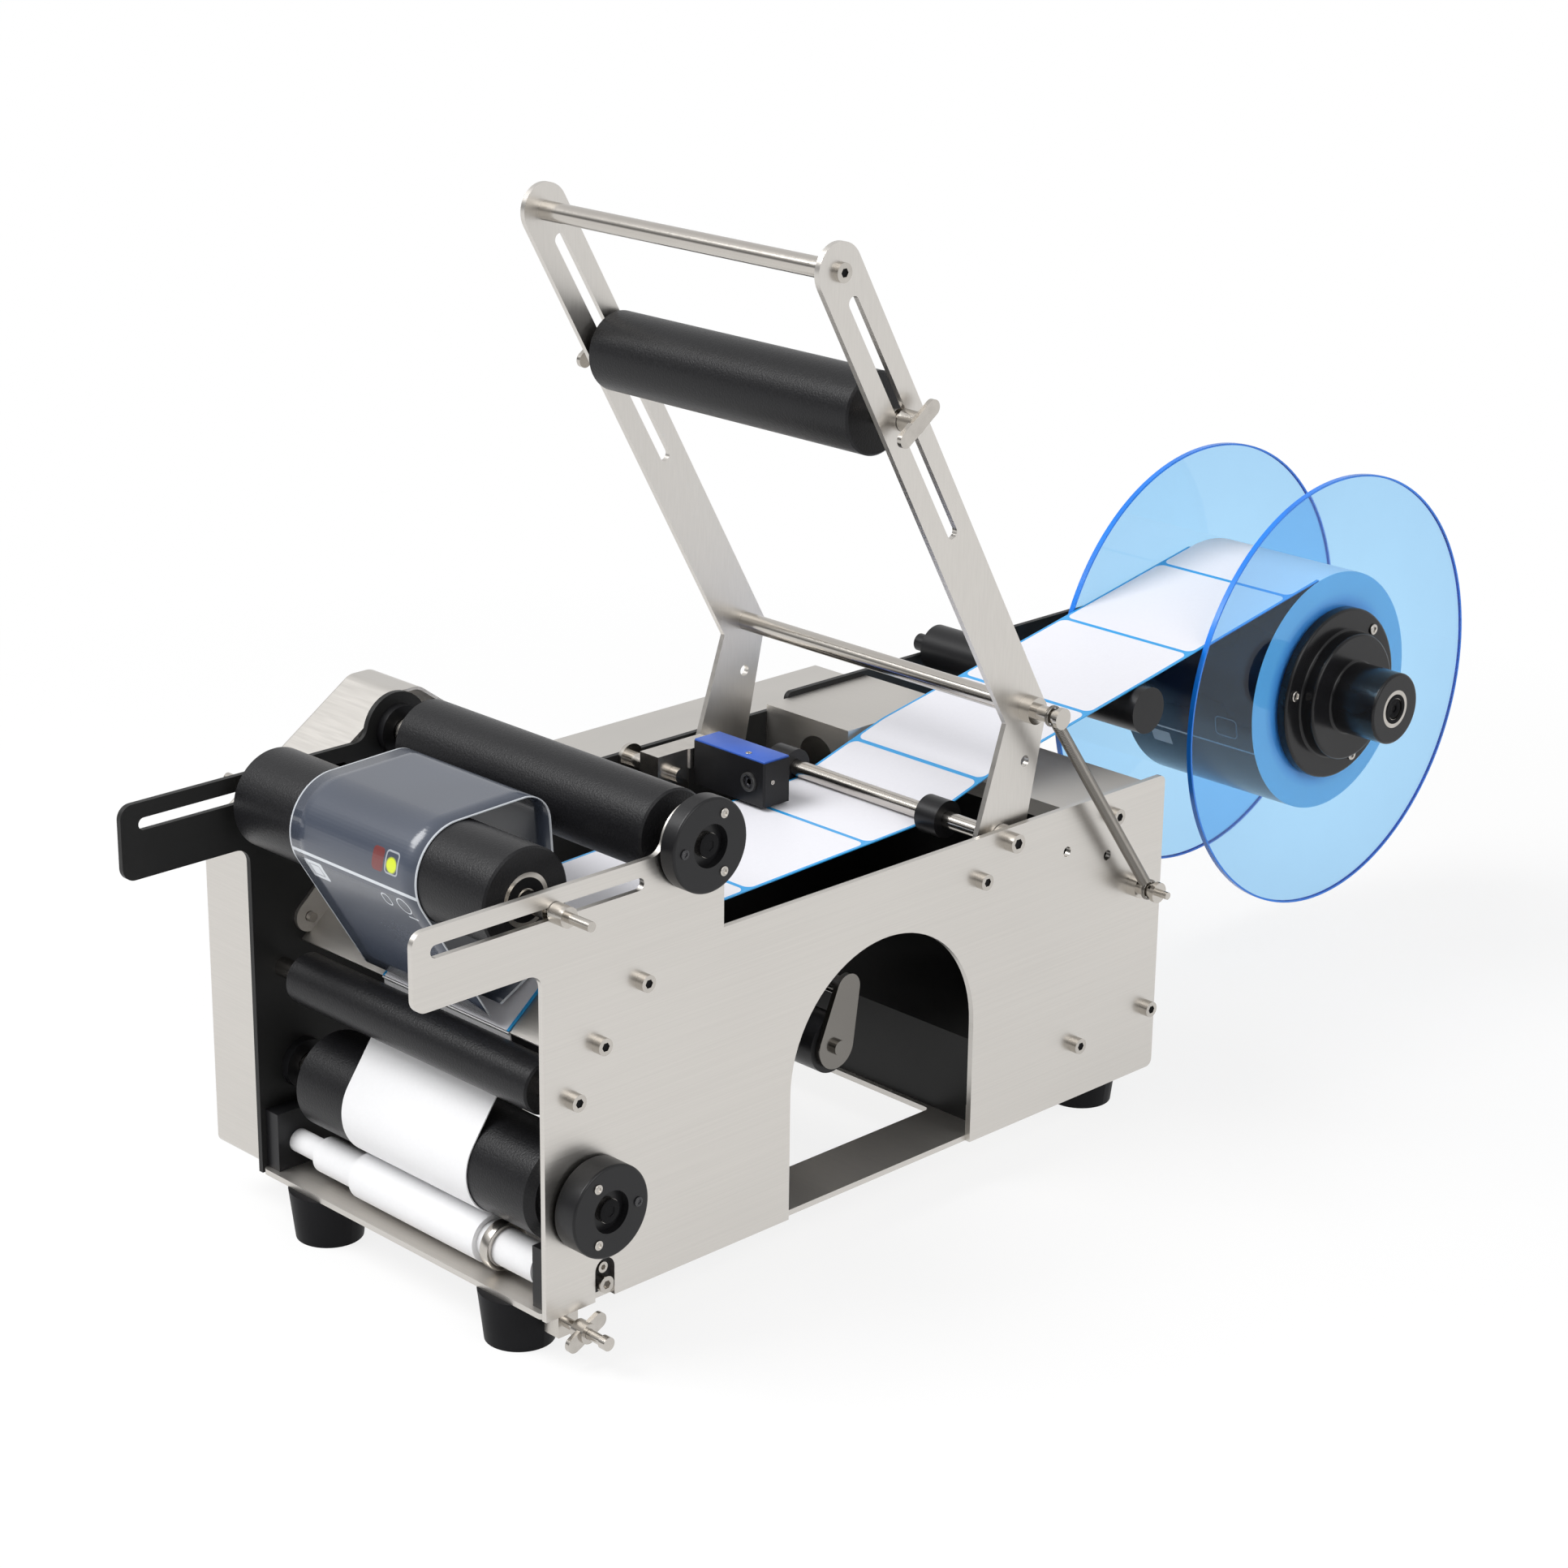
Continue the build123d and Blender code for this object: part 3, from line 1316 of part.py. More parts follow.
axle_end_gap = 2.0
hub_edge = 1.5
with BuildPart() as reel_axle:
    rod(-plate_outer_x, hub_end_x - axle_end_gap, reel_axis, reel_axle_radius)
    rod(-plate_inner_x, hub_left_x - gap, reel_axis, axle_spacer_radius)
    with BuildSketch(Plane.YZ.offset(-plate_outer_x)):
        with Locations(reel_axis):
            RegularPolygon(axle_nut_radius, 6)
    extrude(amount=-axle_nut_width)
reel_axle.part.label = "reel_axle"
export_step(reel_axle.part, "parts/reel_axle.step")

with BuildPart() as reel_hub:
    rod(hub_left_x, disc_inner_left_x, reel_axis, hub_flange_radius)
    rod(disc_inner_left_x, hub_flange_x, reel_axis, chuck_radius)
    rod(hub_flange_x, hub_tier_x, reel_axis, hub_flange_radius)
    rod(hub_tier_x, hub_tube_x, reel_axis, chuck_radius)
    rod(hub_tube_x, hub_end_x, reel_axis, hub_tube_radius)
    hub_circles = reel_hub.edges().filter_by(GeomType.CIRCLE)
    fillet(hub_circles.filter_by(lambda edge: edge.center().X > hub_tier_x - fit), hub_edge)
    rod(hub_left_x, hub_end_x, reel_axis, hub_bore_radius, mode=Mode.SUBTRACT)
    rod(hub_left_x, hub_left_x + hub_bearing_width, reel_axis, hub_bearing_radius + fit, mode=Mode.SUBTRACT)
    rod(hub_end_x - hub_bearing_width, hub_end_x, reel_axis, hub_bearing_radius + fit, mode=Mode.SUBTRACT)
reel_hub.part.label = "reel_hub"
export_step(reel_hub.part, "parts/reel_hub.step")

with BuildPart() as hub_bearings:
    for bearing_left_x in (hub_left_x, hub_end_x - hub_bearing_width):
        tube(
            bearing_left_x,
            bearing_left_x + hub_bearing_width,
            reel_axis,
            hub_bearing_radius,
            reel_axle_radius + fit,
        )
hub_bearings.part.label = "hub_bearings"
export_step(hub_bearings.part, "parts/hub_bearings.step")

with BuildPart() as reel_disc_inner:
    tube(
        disc_inner_left_x,
        disc_inner_left_x + disc_thickness,
        reel_axis,
        disc_radius,
        chuck_radius + fit,
    )
reel_disc_inner.part.label = "reel_disc_inner"
export_step(reel_disc_inner.part, "parts/reel_disc_inner.step")

with BuildPart() as reel_disc_outer:
    tube(
        disc_outer_left_x,
        disc_outer_left_x + disc_thickness,
        reel_axis,
        disc_radius,
        chuck_radius + fit,
    )
reel_disc_outer.part.label = "reel_disc_outer"
export_step(reel_disc_outer.part, "parts/reel_disc_outer.step")

with BuildPart() as label_roll:
    tube(web_left_x, web_right_x, reel_axis, roll_radius, roll_core_radius)
label_roll.part.label = "label_roll"
export_step(label_roll.part, "parts/label_roll.step")


def web_strip(left_x, path, thickness, side):
    """Thicken a path drawn in the YZ plane and give it the width of the web."""
    with BuildSketch(Plane.YZ.offset(left_x)) as strip:
        with BuildLine():
            add(path)
            offset(amount=thickness, side=side)
        make_face()
    extrude(strip.sketch, amount=web_width)


def touch_angle(point, centre, radius, turn):
    """Give the angle on a circle where a line from a point touches it."""
    return bearing_angle(centre, point) + turn * degrees(acos(radius / distance(centre, point)))


def cross_angle(centre, radius, other_centre, other_radius):
    """Give the angle on the first circle where a line that crosses to the other one leaves it."""
    reach = (radius + other_radius) / distance(centre, other_centre)
    return bearing_angle(centre, other_centre) + degrees(acos(reach))


# Label web: off the roll, over the idler, under the pivot shaft and down to the peeling edge
web_leave_angle = 103.0
web_bow_setback = 64.0
web_bow_rise = 13.0
web_bow = (pivot_axis[0] + web_bow_setback, pivot_axis[1] + web_bow_rise)
web_bend = 60.0
web_under_pivot_z = pivot_axis[1] - pivot_radius - web_thickness - 2 * gap
web_under_pivot_bend = 30.0
peel_bend = 3.0
peel_corner = (peel_deck_front_y, peel_deck_z)
peel_slope = bearing_angle(peel_corner, peel_edge)
peel_turn = 180 + peel_slope
web_peel_corner = rim(peel_corner, gap / cos(radians(peel_turn / 2)), 90 + peel_turn / 2)
web_deck_corner = (peel_deck_rear_y, peel_deck_z + gap)
web_pivot_corner = (pivot_axis[0], web_under_pivot_z)
with BuildPart() as label_web:
    with BuildLine(mode=Mode.PRIVATE) as web_path:
        Polyline(
            rim(reel_axis, roll_radius + gap, web_leave_angle),
            (idler_axis[0], idler_axis[1] + idler_radius + gap),
            web_bow,
            web_pivot_corner,
            web_deck_corner,
            web_peel_corner,
            rim(peel_edge, gap, peel_slope - 90),
        )
        round_corner(web_path, web_bow, web_bend)
        round_corner(web_path, web_pivot_corner, web_under_pivot_bend)
        round_corner(web_path, web_deck_corner, web_under_pivot_bend)
        round_corner(web_path, web_peel_corner, peel_bend)
    web_strip(web_left_x, web_path.line, web_thickness, Side.RIGHT)
label_web.part.label = "label_web"
export_step(label_web.part, "parts/label_web.step")

# Backing paper: round the peeling edge, behind the guide roller and down the front of the
# drive roller to the paper roll
paper_guide_radius = guide_roller_radius + gap + web_thickness
paper_drive_radius = drive_roller_radius + gap
paper_edge_top = rim(rim(peel_edge, gap, peel_slope - 90), gap, peel_slope)
paper_edge_bottom = rim(paper_edge_top, thin_sheet + 2 * gap, peel_slope + 90)
paper_guide_start = touch_angle(paper_edge_bottom, guide_axis, paper_guide_radius, -1)
paper_guide_end = cross_angle(guide_axis, paper_guide_radius, drive_axis, paper_drive_radius)
paper_drive_start = paper_guide_end + 180
paper_drive_end = bearing_angle(drive_axis, takeup_axis) + 360
with BuildPart() as backing_paper:
    with BuildLine(mode=Mode.PRIVATE) as paper_path:
        Polyline(
            paper_edge_top,
            paper_edge_bottom,
            rim(guide_axis, paper_guide_radius, paper_guide_start),
        )
        CenterArc(guide_axis, paper_guide_radius, paper_guide_start, paper_guide_end - paper_guide_start)
        Line(
            rim(guide_axis, paper_guide_radius, paper_guide_end),
            rim(drive_axis, paper_drive_radius, paper_drive_start),
        )
        CenterArc(drive_axis, paper_drive_radius, paper_drive_start, paper_drive_end - paper_drive_start)
    web_strip(web_left_x, paper_path.line, web_thickness, Side.RIGHT)
backing_paper.part.label = "backing_paper"
export_step(backing_paper.part, "parts/backing_paper.step")

# Loose end of the label film, hung round the front roller
film_thickness = 0.5
film_shift = 8.0
film_start_reach = 4.0
film_start_rise = 6.5
film_start = (peel_edge[0] - film_start_reach, peel_edge[1] + film_start_rise)
film_radius = front_roller_radius + gap
film_touch = touch_angle(film_start, front_axis, film_radius, -1)
film_leave = 92.0
film_half_wrap = (film_touch + 360 - film_leave) / 2
film_crown = rim(front_axis, film_radius / cos(radians(film_half_wrap)), film_leave + film_half_wrap)
film_reach = 54.0
film_shoulder = rim(rim(front_axis, film_radius, film_leave), film_reach, film_leave - 90)
film_shoulder_bend = 15.0
film_hem_setback = 59.0
film_hem_drop = 52.0
film_hem = (front_axis[0] + film_hem_setback, front_axis[1] - film_hem_drop)
film_hem_bend = 18.0
film_end_setback = 23.0
film_end_drop = 71.0
film_end = (front_axis[0] + film_end_setback, front_axis[1] - film_end_drop)
with BuildPart() as label_film:
    with BuildLine(mode=Mode.PRIVATE) as film_path:
        Polyline(film_start, film_crown, film_shoulder, film_hem, film_end)
        round_corner(film_path, film_crown, film_radius)
        round_corner(film_path, film_shoulder, film_shoulder_bend)
        round_corner(film_path, film_hem, film_hem_bend)
    web_strip(web_left_x - film_shift, film_path.line, film_thickness, Side.RIGHT)
label_film.part.label = "label_film"
export_step(label_film.part, "parts/label_film.step")
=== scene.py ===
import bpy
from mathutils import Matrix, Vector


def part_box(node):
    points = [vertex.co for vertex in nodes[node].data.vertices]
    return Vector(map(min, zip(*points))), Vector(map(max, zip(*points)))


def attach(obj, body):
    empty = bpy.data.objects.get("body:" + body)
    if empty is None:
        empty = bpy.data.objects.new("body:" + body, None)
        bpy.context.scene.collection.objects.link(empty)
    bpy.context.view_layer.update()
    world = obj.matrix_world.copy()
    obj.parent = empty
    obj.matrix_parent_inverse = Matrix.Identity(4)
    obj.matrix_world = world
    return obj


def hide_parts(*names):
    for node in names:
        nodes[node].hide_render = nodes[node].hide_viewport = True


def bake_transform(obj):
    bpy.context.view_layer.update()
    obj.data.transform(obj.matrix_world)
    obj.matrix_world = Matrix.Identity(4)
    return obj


bl_info = {
    "name": "Bottle labelling machine",
    "version": (1, 0, 0),
    "blender": (4, 5, 0),
    "location": "View3D > Sidebar > Labeller",
    "description": "Finishes and small pieces for a bench-top labelling machine for round bottles",
    "category": "Object",
}

import math
from typing import NamedTuple

import bpy
from bpy.props import FloatProperty, FloatVectorProperty, IntProperty, PointerProperty
from mathutils import Matrix, Vector

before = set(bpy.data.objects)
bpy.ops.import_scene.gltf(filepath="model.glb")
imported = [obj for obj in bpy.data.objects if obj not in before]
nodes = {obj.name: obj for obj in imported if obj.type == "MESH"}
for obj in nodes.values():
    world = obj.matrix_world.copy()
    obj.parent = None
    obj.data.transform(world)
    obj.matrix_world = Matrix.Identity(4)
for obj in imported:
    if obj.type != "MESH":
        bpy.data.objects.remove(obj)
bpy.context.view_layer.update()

MM = 0.001
TURN = 2 * math.pi

RIGHT = (1.0, 0.0, 0.0)
EDGE_ANGLE = math.radians(40)
SMOOTH_ANGLE = math.radians(35)
EYE_STEPS, EYE_SIDES = 40, 10

# The camera of the photograph, from its place and its three angles
CAMERA_PLACE = Vector((1222.3, -1163.2, 804.7)) * MM
CAMERA_AZIMUTH = math.radians(45.39)
CAMERA_ELEVATION = math.radians(19.43)
CAMERA_ROLL = math.radians(0.72)
CAMERA_LENS = 81.56
CAMERA_SENSOR = 36.0
CAMERA_REACH = 60.0

# The lamps: place, size, and the point that they face, in metres
LAMP_TARGET = (0.0, 0.1, 0.2)
KEY_PLACE, KEY_SIZE = (-0.9, -1.5, 2.4), 1.6
FILL_PLACE, FILL_SIZE = (2.4, -0.2, 1.6), 1.8

# The dark band that gloss sees low in the surroundings: height, half width and side
BAND_HEIGHT, BAND_REACH = 0.16, 0.30
BAND_MIDDLE, BAND_SLOPE = 0.55, 1.1

# The screw heads of the CAD: end faces, socket radii, and the (Y, Z) places in mm
M5_FACE, M6_FACE = 115.0 * MM, 116.0 * MM
M5_SOCKET, M6_SOCKET = 2.3 * MM, 2.9 * MM
BOTH_SIDES = ((-182.0, 156.0), (-155.5, 179.5), (-198.0, 133.0))
RIGHT_SIDE = ((150.0, 57.5), (207.0, 62.0), (173.5, 179.5), (73.0, 169.5))
# Painted shade in the hexagon sockets: dark discs with these sides, depth, distance below the
# head's face and bevel
SHADE_SIDES = 24
SHADE_DEPTH = 1.0 * MM
SHADE_COVER = 0.7 * MM
SHADE_EDGE = 0.15 * MM

# Dark caps on the shaft ends and dark seals on the bearings
SHAFT_END = 5.9 * MM
KNOB_CAP_HEIGHT, AXLE_CAP_HEIGHT = 0.5 * MM, 1.4 * MM
CAP_EDGE = 0.2 * MM
FRONT_SEAL = (10.6 * MM, 5.6 * MM)
HUB_SEAL = (8.6 * MM, 6.3 * MM)
SEAL_DEPTH = 0.4 * MM
SEAL_STAND = 0.1 * MM

# The knob and hub screws: degrees round the axis from +Y to +Z, and what stands proud
KNOBS = {
    "upper_knob": ("rear_roll", (60, -60), (180,)),
    "lower_knob": ("drive_roll", (120, -120), (0,)),
}
KNOB_HEAD, KNOB_SOCKET, KNOB_EDGE = 0.7 * MM, 1.2 * MM, 0.25 * MM
HUB_FLANGE = 6.0 * MM
HUB_DEGREES = (170, 290, 50)
HUB_HEAD, HUB_SOCKET, HUB_EDGE = 1.2 * MM, 1.6 * MM, 0.5 * MM

# The ring on the take-up tube
RING_X, RING_LENGTH, RING_EDGE = 60.5 * MM, 6.0 * MM, 0.8 * MM
RING_FIT = 0.05 * MM

# The number of cuts that subdivide each face of the film
FILM_CUTS = 7

# The label sensor: its cover, its lens from the right side, and the two trimmers
COVER_MARGIN, COVER_EDGE = 0.6 * MM, 0.4 * MM
LENS_FROM_RIGHT, LENS_SINK = 11 * MM, 0.6 * MM
BEZEL_OUTER, BEZEL_INNER, BEZEL_DEPTH, BEZEL_EDGE = 5.2 * MM, 3.6 * MM, 2.4 * MM, 0.5 * MM
LENS_RADIUS, LENS_HEIGHT, LENS_PUPIL, LENS_EDGE = 3.7 * MM, 0.8 * MM, 1.6 * MM, 0.3 * MM
TOP_TRIMMER_FROM_RIGHT, TOP_TRIMMER_FROM_FRONT, TOP_TRIMMER_RISE = 17 * MM, 5 * MM, 0.9 * MM
TOP_TRIMMER = (1.7 * MM, 0.5 * MM, 0.8 * MM, 0.2 * MM)
SIDE_TRIMMER_FROM_FRONT, SIDE_TRIMMER_RISE = 6 * MM, 13 * MM
SIDE_TRIMMER = (1.3 * MM, 0.4 * MM, 0.6 * MM, 0.15 * MM)

# The roll's outer turn is dark between these two directions from its front, and pale elsewhere
DARK_FROM, DARK_TO = -math.radians(77), math.radians(95)


def middle(node):
    """The centre of a CAD node's box."""
    low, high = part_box(node)
    return (low + high) / 2


def axis_of(node):
    """The (Y, Z) centre of a round CAD node whose axis runs along X."""
    centre = middle(node)
    return (centre.y, centre.z)


# Property groups: the sizes and colours that a user would change

def colour(name, description, value):
    """A linear colour property."""
    return FloatVectorProperty(name=name, description=description, default=value,
                               subtype="COLOR", size=3, min=0.0, max=1.0)


def length(name, description, value):
    """A length property whose default is given in millimetres."""
    return FloatProperty(name=name, description=description, default=value * MM,
                         unit="LENGTH", min=0.0)


def share(name, description, value):
    """A plain number property."""
    return FloatProperty(name=name, description=description, default=value, min=0.0)


class LabellerStage(bpy.types.PropertyGroup):
    """Floor and light."""

    floor_size: length("Floor size", "Side of the square floor", 40000.0)
    floor_colour: colour("Floor colour", "Colour of the pale floor", (0.92, 0.92, 0.92))
    floor_glow: share("Floor glow", "White that the camera sees near the machine", 0.82)
    floor_near: length("Shadow zone", "Radius inside which the floor keeps its full shadow", 650.0)
    floor_far: length("White zone", "Radius outside which the floor is plain white", 1100.0)
    world_strength: share("World", "Light of the surroundings", 0.50)
    dark_band: share("Dark band", "How dark the low surroundings are in gloss, 0 to 1", 0.85)
    key_power: share("Key lamp", "Large lamp above the front left", 74.0)
    fill_power: share("Fill lamp", "Lamp on the right", 27.0)


class LabellerFinish(bpy.types.PropertyGroup):
    """Colours of the finishes."""

    steel: colour("Sheet steel", "Brushed stainless sheet", (0.645, 0.62, 0.585))
    bar: colour("Bar steel", "Turned and polished bar", (0.56, 0.53, 0.49))
    zinc: colour("Screws", "Bright screws and bearings", (0.55, 0.52, 0.48))
    # Black paint of the left plate; the electronics box inside takes it as painted shade, for the
    # shade inside the machine
    black_paint_and_painted_shade: colour("Black sheet", "Left plate and the box inside", (0.012, 0.012, 0.012))
    rubber: colour("Rubber", "Roller covers", (0.008, 0.008, 0.009))
    plastic: colour("Black plastic", "Knobs and blocks", (0.008, 0.008, 0.009))
    disc: colour("Reel disc", "Clear blue disc", (0.41, 0.70, 0.975))
    disc_rim: colour("Disc rim", "Cut edge of the disc", (0.008, 0.19, 0.74))
    liner: colour("Liner", "Blue liner between the labels", (0.03, 0.36, 0.78))
    label: colour("Label", "Face of the labels", (0.83, 0.83, 0.88))
    roll_side: colour("Roll side", "Wound edges of the label roll", (0.68, 0.88, 0.96))
    roll_face: colour("Roll face", "Outer turn of the label roll", (0.006, 0.011, 0.026))
    film: colour("Film", "Label film on the front roller", (0.055, 0.066, 0.092))
    print_grey: colour("Print", "Pale print on the film and the roll", (0.56, 0.59, 0.63))
    sensor_blue: colour("Sensor top", "Blue cover of the label sensor", (0.035, 0.10, 0.42))
    spring: colour("Spring", "Dull wire of the arm spring", (0.25, 0.235, 0.215))
    paper: colour("Backing paper", "Paper on the drive roller", (0.79, 0.79, 0.80))


class LabellerWeb(bpy.types.PropertyGroup):
    """Labels on their liner."""

    pitch: length("Pitch", "From one label to the next", 84.0)
    phase: length("Phase", "Where a gap crosses the web", 52.0)
    gap: length("Gap", "Liner between two labels", 2.6)
    margin: length("Margin", "Liner outside a label", 1.6)
    corner: length("Corner", "Radius of a label's corner", 4.5)


class LabellerSpring(bpy.types.PropertyGroup):
    """Coils of the arm spring."""

    wire: length("Wire", "Diameter of the spring wire", 1.1)
    coil: length("Coil", "Outer radius of the coil", 3.2)
    eye: length("Eye", "Inner radius of an end loop", 4.4)
    steps: IntProperty(name="Steps", description="Points in each turn", default=12, min=6)
    sides: IntProperty(name="Sides", description="Sides of the wire", default=6, min=4)


class LabellerFasteners(bpy.types.PropertyGroup):
    """Small screws and rings that the CAD solids leave to this file."""

    knob_screw: length("Knob screw", "Radius of a knob screw's head", 2.4)
    knob_circle: length("Knob circle", "Radius of the circle of knob screws", 16.3)
    hub_screw: length("Hub screw", "Radius of a hub screw's head", 3.2)
    hub_circle: length("Hub circle", "Radius of the circle of hub screws", 43.0)
    ring: length("Ring", "Outer radius of the ring on the take-up tube", 12.4)


# Node trees: one class wraps a socket for sums, one builds the nodes

class Wire:
    """A node socket that takes part in Python sums."""

    def __init__(self, nodes_of, socket):
        self.nodes_of = nodes_of
        self.socket = socket

    def sum(self, operation, *others, clamp=False):
        """Add one Math node on this value and others."""
        return self.nodes_of.wire("ShaderNodeMath", {"operation": operation, "use_clamp": clamp},
                                  dict(enumerate((self, *others))))

    def __add__(self, other):
        return self.sum("ADD", other)

    def __radd__(self, other):
        return self.sum("ADD", other)

    def __sub__(self, other):
        return self.sum("SUBTRACT", other)

    def __rsub__(self, other):
        return (self * -1.0).sum("ADD", other)

    def __mul__(self, other):
        return self.sum("MULTIPLY", other)

    def __rmul__(self, other):
        return self.sum("MULTIPLY", other)

    def __truediv__(self, other):
        return self.sum("DIVIDE", other)

    def __abs__(self):
        return self.sum("ABSOLUTE")

    def __mod__(self, other):
        return self.sum("FLOORED_MODULO", other)

    def step(self, edge, width):
        """A soft step: 0 below the edge, 1 above it, over the given width."""
        return ((self - edge) / width).sum("ADD", 0.5, clamp=True)

    def within(self, low, high, soft):
        """1 between two values, 0 outside them."""
        return self.step(low, soft) * (1 - self.step(high, soft))


class NodeTree:
    """The nodes of one material or world."""

    def __init__(self, tree):
        self.tree = tree
        self.tree.nodes.clear()
        self.coordinates = self.add("ShaderNodeTexCoord")

    def add(self, kind, settings=None, values=None):
        """Add a node, set its settings, then link or set its sockets."""
        node = self.tree.nodes.new(kind)
        for key, value in (settings or {}).items():
            setattr(node, key, value)
        for key, value in (values or {}).items():
            if isinstance(value, Wire):
                self.tree.links.new(value.socket, node.inputs[key])
            else:
                node.inputs[key].default_value = value
        return node

    def wire(self, kind, settings=None, values=None, output=0):
        """Add a node and give one of its outputs for further sums."""
        return Wire(self, self.add(kind, settings, values).outputs[output])

    def place(self, source="Object"):
        """The three coordinates as wires."""
        point = Wire(self, self.coordinates.outputs[source])
        split = self.add("ShaderNodeSeparateXYZ", {}, {0: point})
        return [Wire(self, split.outputs[axis]) for axis in range(3)]

    def noise(self, scale, detail=2.0, stretch=(1.0, 1.0, 1.0)):
        """Noise between about 0.2 and 0.8, in cells per metre."""
        point = Wire(self, self.coordinates.outputs["Object"])
        vector = self.wire("ShaderNodeVectorMath", {"operation": "MULTIPLY"},
                           {0: point, 1: stretch})
        return self.wire("ShaderNodeTexNoise", {},
                         {"Vector": vector, "Scale": scale, "Detail": detail})

    def blend(self, factor, first, second):
        """Mix two colours, on the colour sockets 6 and 7 of a Mix node."""
        values = {0: factor, 6: first, 7: second}
        for key in (6, 7):
            if not isinstance(values[key], Wire):
                values[key] = (*values[key], 1.0)
        return self.wire("ShaderNodeMix", {"data_type": "RGBA"}, values, output=2)

    def bump(self, height, distance, strength=1.0):
        """A bump from a height between 0 and 1."""
        return self.wire("ShaderNodeBump", {}, {"Height": height, "Distance": distance,
                                                "Strength": strength})

    def shader(self, **values):
        """A Principled shader, its sockets named with underscores for spaces."""
        named = {key.replace("_", " "): value for key, value in values.items()}
        base = named.get("Base Color")
        if base is not None and not isinstance(base, Wire):
            named["Base Color"] = (*base, 1.0)
        return self.wire("ShaderNodeBsdfPrincipled", {}, named)

    def mixed(self, factor, first, second):
        """One shader over another."""
        return self.wire("ShaderNodeMixShader", {}, {0: factor, 1: first, 2: second})


class Finish(NodeTree):
    """One material and the nodes in it."""

    def __init__(self, name):
        self.material = bpy.data.materials.new(name)
        self.material.use_nodes = True
        super().__init__(self.material.node_tree)

    def close(self, shader):
        """Join a shader to the output and give the material."""
        self.add("ShaderNodeOutputMaterial", {}, {"Surface": shader})
        return self.material

    def surface(self, **values):
        """Close the tree with one Principled shader."""
        return self.close(self.shader(**values))


def tint(shade, factor):
    """A colour made lighter or darker."""
    return tuple(min(channel * factor, 1.0) for channel in shade)


def radial(finish, axis):
    """Distance from an axis along X that is given as (Y, Z)."""
    _, y, z = finish.place()
    across = y - axis[0]
    up = z - axis[1]
    return (across * across + up * up).sum("SQRT")


def block_mask(u, v, centre, size, corner, soft):
    """1 inside a rectangle with round corners."""
    long = (abs(u - centre[0]) - (size[0] / 2 - corner)).sum("MAXIMUM", 0.0)
    wide = (abs(v - centre[1]) - (size[1] / 2 - corner)).sum("MAXIMUM", 0.0)
    return 1 - (long * long + wide * wide).sum("SQRT").step(corner, soft)


def frame_mask(u, v, centre, size, corner, line, soft):
    """1 on the outline of a rectangle with round corners."""
    inner = (size[0] - 2 * line, size[1] - 2 * line)
    return (block_mask(u, v, centre, size, corner, soft)
            - block_mask(u, v, centre, inner, max(corner - line, soft), soft)).sum("MAXIMUM", 0.0)


class Patch(NamedTuple):
    """A generic printed mark in mm: its centre and size across and along, a block or an outline."""

    centre: tuple
    size: tuple
    corner: float
    line: float = 0.0
    strength: float = 1.0

    def mask(self, across, along, soft):
        """1 on the mark, 0 beside it."""
        centre = tuple(value * MM for value in self.centre)
        size = tuple(value * MM for value in self.size)
        if self.line:
            return frame_mask(across, along, centre, size, self.corner * MM, self.line * MM, soft)
        return block_mask(across, along, centre, size, self.corner * MM, soft)


ROLL_LINE = (23.8 * MM, 24.9 * MM)
ROLL_SOFT = 0.3 * MM
ROLL_PATCHES = (
    Patch((-21, 13.4), (9, 10), 1, 0.8),
    Patch((-21, 13.4), (4.5, 5), 1, strength=0.5),
    Patch((-17, 32.2), (14, 9), 1, strength=0.7),
    Patch((33, 12), (16, 12), 3, 0.7, 0.5),
)

FILM_SOFT = 0.25 * MM
FILM_EDGE = 1.0 * MM
FILM_LINE = (219.2 * MM, 221.0 * MM)
FILM_SQUARE = Patch((-36, 211.5), (13, 10.5), 1)
FILM_INSET = Patch((-36, 211.5), (8, 7), 1, 0.8, 0.5)
FILM_PATCHES = (
    Patch((25.7, 233), (9.5, 11), 2, 0.8, 0.5),
    Patch((16.6, 212), (6, 7), 2.5, 0.6, 0.95),
    Patch((29, 212), (9, 9), 4.5, 0.6, 0.95),
    Patch((31, 205.5), (7, 0.8), 0.3, strength=0.95),
)
FILM_RED = Patch((15.8, 232.6), (8, 11), 2)
FILM_LIME = Patch((25.7, 232), (7, 7), 3.4)
RED_TONE = (0.16, 0.035, 0.035)
LIME_TONE = (0.62, 0.72, 0.02)


# Finishes: noise scales are in cells per metre, and a grain stretches the noise along an axis
SIDE_GRAIN = (40.0, 12.0, 1500.0)
FLAT_GRAIN = (14.0, 1500.0, 1500.0)
ARM_GRAIN = (60.0, 900.0, 90.0)
RING_GRAIN = (1500.0, 20.0, 20.0)
FLAT_ROUGHNESS = 0.42


def brushed_steel(name, shade, grain, roughness=0.30):
    """Stainless sheet with fine straight brush lines and faint clouds."""
    finish = Finish(name)
    lines = finish.noise(1.0, 3.0, grain)
    clouds = finish.noise(7.0, 2.0)
    tone = finish.blend(lines * 0.6 + clouds * 0.4, tint(shade, 0.88), tint(shade, 1.10))
    rough = roughness - 0.05 + lines * 0.10 + clouds * 0.04
    return finish.surface(Base_Color=tone, Metallic=1.0, Roughness=rough,
                          Normal=finish.bump(lines, 0.04 * MM, 0.3))


def polished_bar(name, shade):
    """Turned bar: faint rings round it, bright and smooth."""
    finish = Finish(name)
    rings = finish.noise(1.0, 2.0, RING_GRAIN)
    clouds = finish.noise(30.0)
    tone = finish.blend(clouds, tint(shade, 0.92), tint(shade, 1.06))
    return finish.surface(Base_Color=tone, Metallic=1.0, Roughness=0.13 + rings * 0.12,
                          Normal=finish.bump(rings, 0.03 * MM, 0.3))


